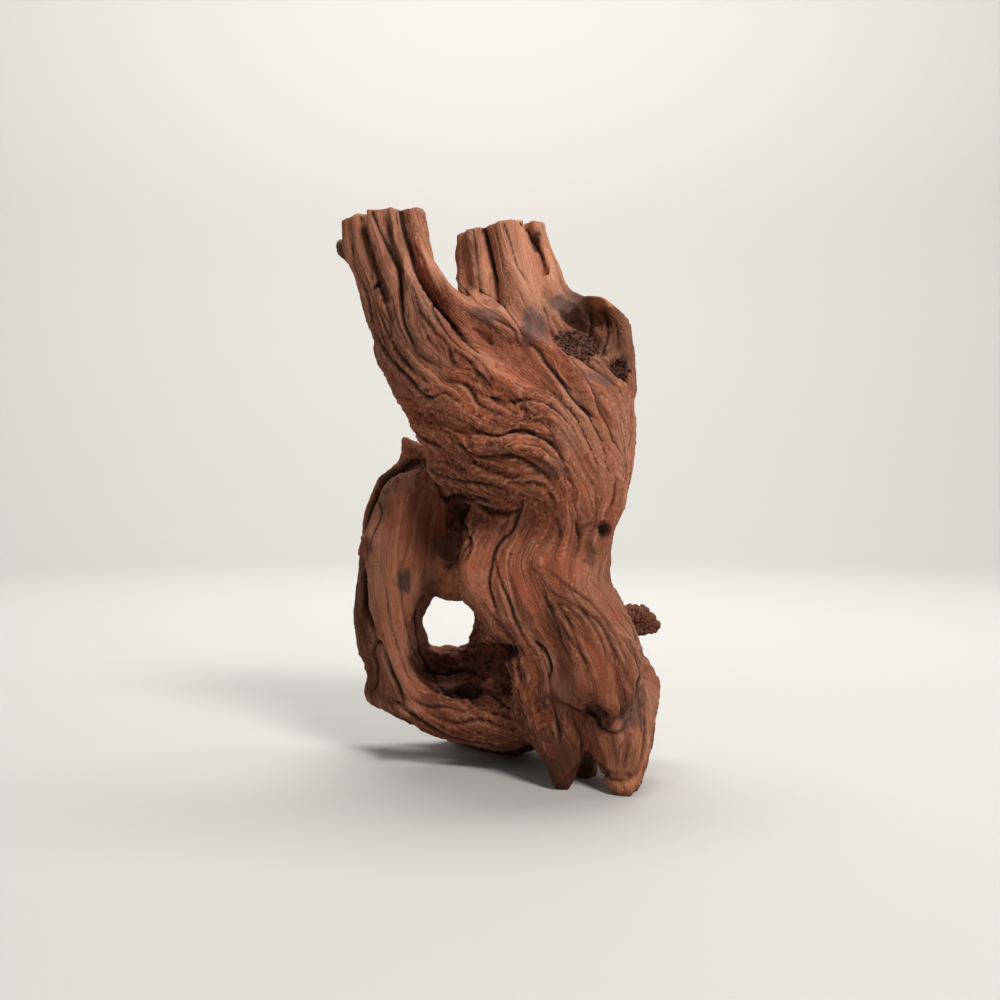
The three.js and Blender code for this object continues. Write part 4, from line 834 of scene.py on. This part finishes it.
# The dark share that this spreads is partly painted shade in pits and recesses.
def stained(points, normals, sheet, lattice, front, back, edges):
    found = np.zeros((len(edges), len(points)))
    width, share = wood["ragged"]
    ragged = share * noiseAt(lattice, points / width + 3.0)
    for side, sense, (across, up, wide, tall, *values) in bothSides(front, back):
        middle = getattr(sheet, side)(across, up)[0] / mm
        away = ((points[:, 0] - middle[0]) / wide) ** 2 + ((points[:, 2] - middle[2]) / tall) ** 2
        away = np.sqrt(away) + ragged
        faced = np.exp(-((points[:, 1] - middle[1]) / wood["stainReach"]) ** 2)
        faced *= sense * normals[:, 1] > -0.5
        for row, (value, edge) in enumerate(zip(values, edges)):
            found[row] = np.maximum(found[row], value * faced * ramp(away, 1 + edge, 1 - edge))
    return found


def crackRelief(points, sheet):
    height = np.zeros(len(points))
    mask = np.zeros(len(points))
    rows = [(side, *row) for side, drawn in allCracks.items() for row in drawn]
    for side, deep, wide, lift, line in rows:
        places, ways, normals = sheet.line(side, line, wood["crackGap"])
        places = places / mm
        wide = max(wide * wood["crackWidth"], wood["narrowest"])
        low, high = places.min(0) - wood["crackReach"], places.max(0) + wood["crackReach"]
        near = np.nonzero(((points > low) & (points < high)).all(1))[0]
        gaps = ((points[near, None] - places[None]) ** 2).sum(2)
        closest = gaps.argmin(1)
        gap = np.sqrt(gaps[np.arange(len(near)), closest])
        along = closest / (len(places) - 1)
        fade = np.sin(np.pi * np.clip(along, 0.02, 0.98)) ** 0.45
        if line[0][1] > 250:  # a crack that starts at a sawn end stays open there
            fade = np.where(along < 0.5, 1.0, fade)
        beside = np.cross(ways[closest], normals[closest])
        left = ((points[near] - places[closest]) * beside).sum(1)
        lifted = ramp(left * np.sign(lift), -0.2, 0.5) * np.exp(-gap / wood["liftLength"])
        groove = np.exp(-(gap / wide) ** 2)
        height[near] += fade * (abs(lift) * lifted - deep * groove)
        # where the crack's groove gets painted shade
        mask[near] = np.maximum(mask[near], fade * groove * min(1, deep / 1.6))
    return height, mask


def relief(points, normals, field, sheet, lattice):
    ridges, layers, waves = shares(points)[:3]
    flank = ramp(np.abs(normals[:, 0]), 0.6, 0.95)
    ridges = ridges + wood["flankRidges"] * flank
    layers = layers + wood["flankLayers"] * flank
    long, short = wood["waveLengths"]
    warp = np.stack([noiseAt(lattice, points / long + 11.0 * axis) for axis in (1, 2, 3)], axis=1)
    warp += 0.5 * np.stack([noiseAt(lattice, points / short + 5.0 * axis) for axis in (1, 2, 3)], axis=1)
    moved = points + wood["wave"] * waves[:, None] * warp
    widths = [wood[name][0] for name in ("coarse", "middle", "fine")]
    coarse, middle, fine = dragged(moved, field, lattice, widths)
    height = wood["coarse"][1] * coarse * ridges
    height += wood["middle"][1] * ridges * (0.9 - 1.3 * np.abs(middle))
    height += wood["fine"][1] * (0.35 + ridges) * fine
    width, tall = wood["crumble"]
    height += tall * (0.15 + layers) * noiseAt(lattice, points / width + 29.0)
    turns = wood["layers"] * (coarse + wood["layerLean"] * middle)
    turns -= np.floor(turns)
    steps = turns * (1 - ramp(turns, wood["drop"], 1.0))
    height += wood["layerHeight"] * layers * (steps - 0.4) * 1.6
    cracks, mask = crackRelief(points, sheet)
    return height + cracks, mask, coarse, middle, fine


def writeValues(mesh, name, values):
    made = mesh.attributes.new(name, "FLOAT", "POINT")
    made.data.foreach_set("value", values.astype(np.float32))


def thinned(made, triangles):
    now = sum(len(face.vertices) - 2 for face in made.data.polygons)
    fewer = made.modifiers.new("fewer", "DECIMATE")
    fewer.ratio = min(1.0, triangles / now)
    fewer.use_collapse_triangulate = True
    return applied(made)


def addWood(node):
    made = baseWood(node)
    mesh = made.data
    ends = readEnds(mesh)
    points = readPoints(mesh)
    onFloor = points[:, 2] < 0.5 * mm
    points = spread(points, ends, wood["smoothRounds"])
    movePoints(mesh, squareEnds(nudged(points / mm)) * mm)
    print("wood has", len(points), "points before its relief")
    sheet = Sheet(made)
    field = fibreField(sheet)
    normals = unit(spread(readNormals(mesh), ends, wood["facingRounds"][0]))
    points = pitted(readPoints(mesh) / mm, normals, sheet) * mm
    points = spread(points, ends, 1)
    movePoints(mesh, points)
    sheet = Sheet(made)
    draw = np.random.default_rng(wood["seed"])
    lattice = draw.standard_normal((noiseSize,) * 3).astype(np.float32)
    normals = unit(spread(readNormals(mesh), ends, wood["facingRounds"][1]))
    height, crack, coarse, middle, fine = relief(points / mm, normals, field, sheet, lattice)
    marks = (points / mm, normals, sheet, lattice)
    # dark holds real dark stains together with painted shade in pits and recesses
    grey, dark, bark, crumbly = stained(*marks, frontStainsAndShade, backStainsAndShade, (0.12, 0.25, 0.25, 0.40))
    fresh = stained(*marks, freshSpots, [], (0.30,))[0]
    sawn = ramp(normals[:, 2], 0.75, 0.92) * (points[:, 2] > wood["sawnFrom"] * mm)
    height = height * (1 - wood["sawnCalm"] * sawn)
    points = points + normals * height[:, None] * mm
    points = spread(points, ends, 1, 0.3)
    points[onFloor, 2] = 0
    movePoints(mesh, points)
    # the relief against its smoothed self; the material paints shade into its hollows and a pale dusty
    # colour onto its crests, partly a painted highlight
    hollow = height - spread(height, ends, wood["hollowRounds"])
    # the brightness of each stretch: partly the wood's own lightness, partly painted shade and light
    ridges, _, _, red, tone = shares(points / mm)
    grain = np.clip(0.22 + 1.2 * ridges, 0, 1)
    kept = {"coarse": coarse, "middle": middle, "fine": fine, "hollow": hollow, "crack": crack,
            "grey": grey, "dark": dark, "bark": bark, "crumbly": crumbly, "fresh": fresh,
            "sawn": sawn, "red": red, "tone": tone, "grain": grain}
    for name, values in kept.items():
        writeValues(mesh, name, values)
    thinned(made, wood["triangles"])
    keepInside(made.data)
    made.data.polygons.foreach_set("use_smooth", [True] * len(made.data.polygons))
    print("wood has", len(made.data.polygons), "triangles")
    return made


# Finish

finish = {
    "red": (0.275, 0.074, 0.034),
    "tan": (0.350, 0.152, 0.092),
    "brown": (0.118, 0.037, 0.020),
    # near black: painted shade in cracks and hollows, and the dark of the crumbs
    "deep": (0.026, 0.009, 0.005),
    # a pale dusty colour, also a painted highlight on crests
    "dustAndHighlight": (0.470, 0.235, 0.148),
    "grey": (0.135, 0.078, 0.066),
    # a sooty dark, also used as painted shade in pits and recesses
    "sootAndShade": (0.028, 0.015, 0.011),
    "bark": (0.130, 0.054, 0.034),
    "sawn": (0.360, 0.180, 0.110),
    "fresh": (0.440, 0.170, 0.085),
}
look = {
    "patches": 38.0,  # per m
    "calm": 30.0,
    "grit": 1100.0,
    "streaks": (1.6, 0.7),  # how fast they follow one another, over the coarse and over the middle ridges
    "rings": (3.6, 0.8),
    "fibres": (0.10, 0.05),  # how strong the fine and the middle ridges show between the rings
    "gritHeight": 0.45,
    "bump": 0.0010,  # m
}
# What lies over the grain, in this order: the marked places, their colour and how much it covers.
laidOver = [
    ("fresh", "fresh", 1.0),
    ("sawn", "sawn", 0.8),
    ("grey", "grey", 0.8),
    ("bark", "bark", 0.9),
    # the dark share: real stains and painted shade in pits and recesses
    ("dark", "sootAndShade", 1.0),
    # painted shade along the cracks' grooves
    ("crack", "deep", 0.85),
]


class Nodes:
    # a short hand for making and joining nodes
    def __init__(self, tree):
        self.tree = tree

    def add(self, kind, settings=None, **values):
        made = self.tree.nodes.new(kind)
        for name, value in (settings or {}).items():
            setattr(made, name, value)
        for name, value in values.items():
            self.put(made.inputs[name.replace("_", " ")], value)
        return made

    def put(self, socket, value):
        if isinstance(value, bpy.types.NodeSocket):
            self.tree.links.new(value, socket)
        else:
            socket.default_value = value

    def math(self, operation, first, second=0.0, third=0.0):
        made = self.tree.nodes.new("ShaderNodeMath")
        made.operation = operation
        for socket, value in zip(made.inputs, (first, second, third)):
            self.put(socket, value)
        return made.outputs[0]

    def mix(self, share, first, second, blend="MIX"):
        made = self.tree.nodes.new("ShaderNodeMix")
        made.data_type = "RGBA"
        made.blend_type = blend
        for name, value in (("Factor_Float", share), ("A_Color", first), ("B_Color", second)):
            socket = next(s for s in made.inputs if s.identifier == name)
            self.put(socket, value)
        return next(s for s in made.outputs if s.identifier == "Result_Color")

    def weighed(self, values, shares):
        scaled = [self.math("MULTIPLY", value, share) for value, share in zip(values, shares)]
        return self.math("ADD", *scaled)

    def alike(self, value):
        return self.add("ShaderNodeCombineXYZ", X=value, Y=value, Z=value).outputs[0]

    def value(self, name):
        return self.add("ShaderNodeAttribute", {"attribute_name": name}).outputs["Fac"]

    def between(self, value, low, high, out=(0.0, 1.0)):
        made = self.add("ShaderNodeMapRange", {"interpolation_type": "SMOOTHSTEP"}, Value=value)
        for name, now in (("From Min", low), ("From Max", high), ("To Min", out[0]), ("To Max", out[1])):
            self.put(made.inputs[name], now)
        return made.outputs["Result"]


def newGroup(name, kind, takes, gives):
    tree = bpy.data.node_groups.new(name, kind)
    for way, sockets in (("INPUT", takes), ("OUTPUT", gives)):
        for label, sort in sockets.items():
            tree.interface.new_socket(label, in_out=way, socket_type="NodeSocket" + sort)
    return tree


def poreGroup():
    # pores and mottling, shared by the wood, its crumbs and its bark
    gives = {"Mottle": "Float", "Height": "Float"}
    tree = newGroup("pores", "ShaderNodeTree", {"Scale": "Float"}, gives)
    nodes = Nodes(tree)
    scale = tree.nodes.new("NodeGroupInput").outputs["Scale"]
    place = nodes.add("ShaderNodeTexCoord").outputs["Object"]
    mottle = nodes.add("ShaderNodeTexNoise", Vector=place, Scale=scale, Detail=3.0).outputs["Fac"]
    small = nodes.math("MULTIPLY", scale, 3.5)
    fine = nodes.add("ShaderNodeTexNoise", Vector=place, Scale=small, Detail=2.0).outputs["Fac"]
    made = tree.nodes.new("NodeGroupOutput")
    nodes.put(made.inputs["Mottle"], mottle)
    nodes.put(made.inputs["Height"], nodes.math("MULTIPLY_ADD", fine, 0.4, mottle))
    return tree


pores = poreGroup()


def paint(name):
    return (*finish[name], 1)


def woodMaterial():
    material, shader = newMaterial("wood")
    nodes = Nodes(material.node_tree)
    oneWay = {"noise_dimensions": "1D"}
    place = nodes.add("ShaderNodeTexCoord").outputs["Object"]
    coarse, middle, fine = (nodes.value(name) for name in ("coarse", "middle", "fine"))
    hollow = nodes.value("hollow")
    patches = nodes.add("ShaderNodeTexNoise", Vector=place, Scale=look["patches"], Detail=4.0)
    patchy = nodes.math("MULTIPLY_ADD", patches.outputs["Fac"], 1.6, -0.8)
    redness = nodes.math("ADD", nodes.value("red"), patchy)
    colour = nodes.mix(nodes.between(redness, 0.1, 0.9), paint("tan"), paint("red"))
    streakAt = nodes.weighed((coarse, middle), look["streaks"])
    streak = nodes.add("ShaderNodeTexNoise", oneWay, W=streakAt, Scale=1.0, Detail=3.0)
    calm = nodes.add("ShaderNodeTexNoise", Vector=place, Scale=look["calm"], Detail=2.0).outputs["Fac"]
    grain = nodes.math("MULTIPLY", nodes.value("grain"), nodes.between(calm, 0.38, 0.60, (0.35, 1.1)))
    streaks = nodes.math("MULTIPLY", nodes.between(streak.outputs["Fac"], 0.44, 0.66, (0.0, 0.80)), grain)
    colour = nodes.mix(streaks, colour, paint("brown"))
    ringAt = nodes.weighed((coarse, middle), look["rings"])
    rings = nodes.add("ShaderNodeTexNoise", oneWay, W=ringAt, Scale=1.0, Detail=1.0)
    fibres = nodes.weighed((fine, middle), look["fibres"])
    lines = nodes.math("MULTIPLY_ADD", rings.outputs["Fac"], 0.8, nodes.math("ADD", fibres, 0.1))
    # a pale dusty colour on the raised lines of the bump, partly a painted highlight
    colour = nodes.mix(nodes.between(lines, 0.44, 0.26, (0.0, 0.30)), colour, paint("dustAndHighlight"))
    darkLines = nodes.math("MULTIPLY", nodes.between(lines, 0.52, 0.70, (0.0, 0.9)), grain)
    colour = nodes.mix(darkLines, colour, paint("brown"))
    # a pale dusty colour on the relief's crests, partly a painted highlight, and painted shade in its
    # hollows
    colour = nodes.mix(nodes.between(hollow, 0.05, 0.6, (0.0, 0.5)), colour, paint("dustAndHighlight"))
    colour = nodes.mix(nodes.between(hollow, -0.05, -0.7, (0.0, 0.85)), colour, paint("deep"))
    # darkens or lightens each stretch: partly the wood's own lightness, partly painted shade and light
    colour = nodes.mix(1.0, colour, nodes.alike(nodes.value("tone")), "MULTIPLY")
    for name, tint, cover in laidOver:
        colour = nodes.mix(nodes.math("MULTIPLY", nodes.value(name), cover), colour, paint(tint))
    nodes.put(shader.inputs["Base Color"], colour)
    nodes.put(shader.inputs["Roughness"], nodes.between(lines, 0.3, 0.7, (0.70, 0.88)))
    shader.inputs["Specular IOR Level"].default_value = 0.18
    grit = nodes.add("ShaderNodeGroup", {"node_tree": pores}, Scale=look["grit"]).outputs["Height"]
    height = nodes.math("MULTIPLY_ADD", grit, look["gritHeight"], nodes.math("MULTIPLY", lines, -1.0))
    bump = nodes.add("ShaderNodeBump", Height=height, Strength=1.0, Distance=look["bump"])
    nodes.put(shader.inputs["Normal"], bump.outputs["Normal"])
    return material


# Crumbs in the burl's cup and bark on the broken stub

crumbs = {
    "mask": "crumbly",
    "density": 2.0e6,  # per m2
    "small": 0.0006,  # m
    "large": 0.0014,
    "rough": 0.0009,
    "seed": 5,
}
bark = {
    "mask": "bark",
    "density": 4.4e5,
    "small": 0.0009,
    "large": 0.0023,
    "rough": 0.0012,
    "seed": 8,
}


def patchOf(made, mask):
    mesh = made.data
    values = np.empty(len(mesh.vertices), np.float32)
    mesh.attributes[mask].data.foreach_get("value", values)
    corners = np.empty(len(mesh.polygons) * 3, np.int32)
    mesh.polygons.foreach_get("vertices", corners)
    corners = corners.reshape(-1, 3)
    corners = corners[(values[corners] > 0.1).all(1)]
    used, faces = np.unique(corners, return_inverse=True)
    patch = bpy.data.meshes.new(mask)
    patch.from_pydata(readPoints(mesh)[used].tolist(), [], faces.reshape(-1, 3).tolist())
    writeValues(patch, "share", values[used])
    return patch


def scatterTree():
    takes = {"Geometry": "Geometry", "Density": "Float", "Small": "Float", "Large": "Float",
             "Rough": "Float", "Seed": "Int", "Finish": "Material"}
    tree = newGroup("scatter", "GeometryNodeTree", takes, {"Geometry": "Geometry"})
    nodes = Nodes(tree)
    given = tree.nodes.new("NodeGroupInput").outputs
    here = nodes.add("GeometryNodeInputPosition").outputs["Position"]
    clumps = nodes.add("ShaderNodeTexNoise", Vector=here, Scale=320.0, Detail=2.0).outputs["Fac"]
    share = nodes.add("GeometryNodeInputNamedAttribute", {"data_type": "FLOAT"}, Name="share")
    clumps = nodes.math("MULTIPLY", share.outputs["Attribute"], nodes.between(clumps, 0.34, 0.50))
    density = nodes.math("MULTIPLY", given["Density"], clumps)
    spots = nodes.add("GeometryNodeDistributePointsOnFaces", Mesh=given["Geometry"], Density=density,
                      Seed=given["Seed"])
    grain = nodes.add("GeometryNodeMeshIcoSphere", Radius=1.0, Subdivisions=1)
    small, large = nodes.alike(given["Small"]), nodes.alike(given["Large"])
    vectors = {"data_type": "FLOAT_VECTOR"}
    size = nodes.add("FunctionNodeRandomValue", vectors, Min=small, Max=large, Seed=given["Seed"])
    turn = nodes.add("FunctionNodeRandomValue", vectors, Max=(6.3, 6.3, 6.3), Seed=11)
    placed = nodes.add("GeometryNodeInstanceOnPoints", Points=spots.outputs["Points"],
                       Instance=grain.outputs["Mesh"], Rotation=turn.outputs[0], Scale=size.outputs[0])
    real = nodes.add("GeometryNodeRealizeInstances", Geometry=placed.outputs["Instances"])
    noise = nodes.add("ShaderNodeTexNoise", Vector=here, Scale=900.0, Detail=1.0)
    centred = nodes.add("ShaderNodeVectorMath", {"operation": "SUBTRACT"})
    nodes.put(centred.inputs[0], noise.outputs["Color"])
    centred.inputs[1].default_value = (0.5, 0.5, 0.5)
    moved = nodes.add("ShaderNodeVectorMath", {"operation": "SCALE"}, Scale=given["Rough"])
    nodes.put(moved.inputs[0], centred.outputs["Vector"])
    bent = nodes.add("GeometryNodeSetPosition", Geometry=real.outputs["Geometry"],
                     Offset=moved.outputs["Vector"])
    dressed = nodes.add("GeometryNodeSetMaterial", Geometry=bent.outputs["Geometry"],
                        Material=given["Finish"])
    nodes.put(tree.nodes.new("NodeGroupOutput").inputs["Geometry"], dressed.outputs["Geometry"])
    return tree


def scattered(name, plan, host, tree, material):
    made = linked(name, patchOf(host, plan["mask"]))
    modifier = made.modifiers.new("scatter", "NODES")
    modifier.node_group = tree
    values = {**plan, "finish": material}
    for item in tree.interface.items_tree:
        if item.in_out == "INPUT" and item.name.lower() in values:
            modifier[item.identifier] = values[item.name.lower()]
    applied(made)
    keepInside(made.data)
    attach(made, "root")
    print(name, "has", len(made.data.polygons), "faces")
    return made


def crumbMaterial(name, dark, light):
    material, shader = newMaterial(name)
    nodes = Nodes(material.node_tree)
    found = nodes.add("ShaderNodeGroup", {"node_tree": pores}, Scale=600.0).outputs
    colour = nodes.mix(nodes.between(found["Mottle"], 0.42, 0.66), paint(dark), paint(light))
    nodes.put(shader.inputs["Base Color"], colour)
    nodes.put(shader.inputs["Roughness"], nodes.between(found["Mottle"], 0.3, 0.7, (0.75, 0.92)))
    shader.inputs["Specular IOR Level"].default_value = 0.15
    bump = nodes.add("ShaderNodeBump", Height=found["Height"], Strength=0.6, Distance=0.0006)
    nodes.put(shader.inputs["Normal"], bump.outputs["Normal"])
    return material


driftwood = addWood(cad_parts["driftwood"])
driftwood.data.materials.clear()
driftwood.data.materials.append(woodMaterial())
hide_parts("driftwood")
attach(driftwood, "root")
print("wood is finished")
scatter = scatterTree()
scattered("burlCrumbs", crumbs, driftwood, scatter, crumbMaterial("crumbs", "deep", "bark"))
scattered("stubBark", bark, driftwood, scatter, crumbMaterial("bark", "brown", "bark"))
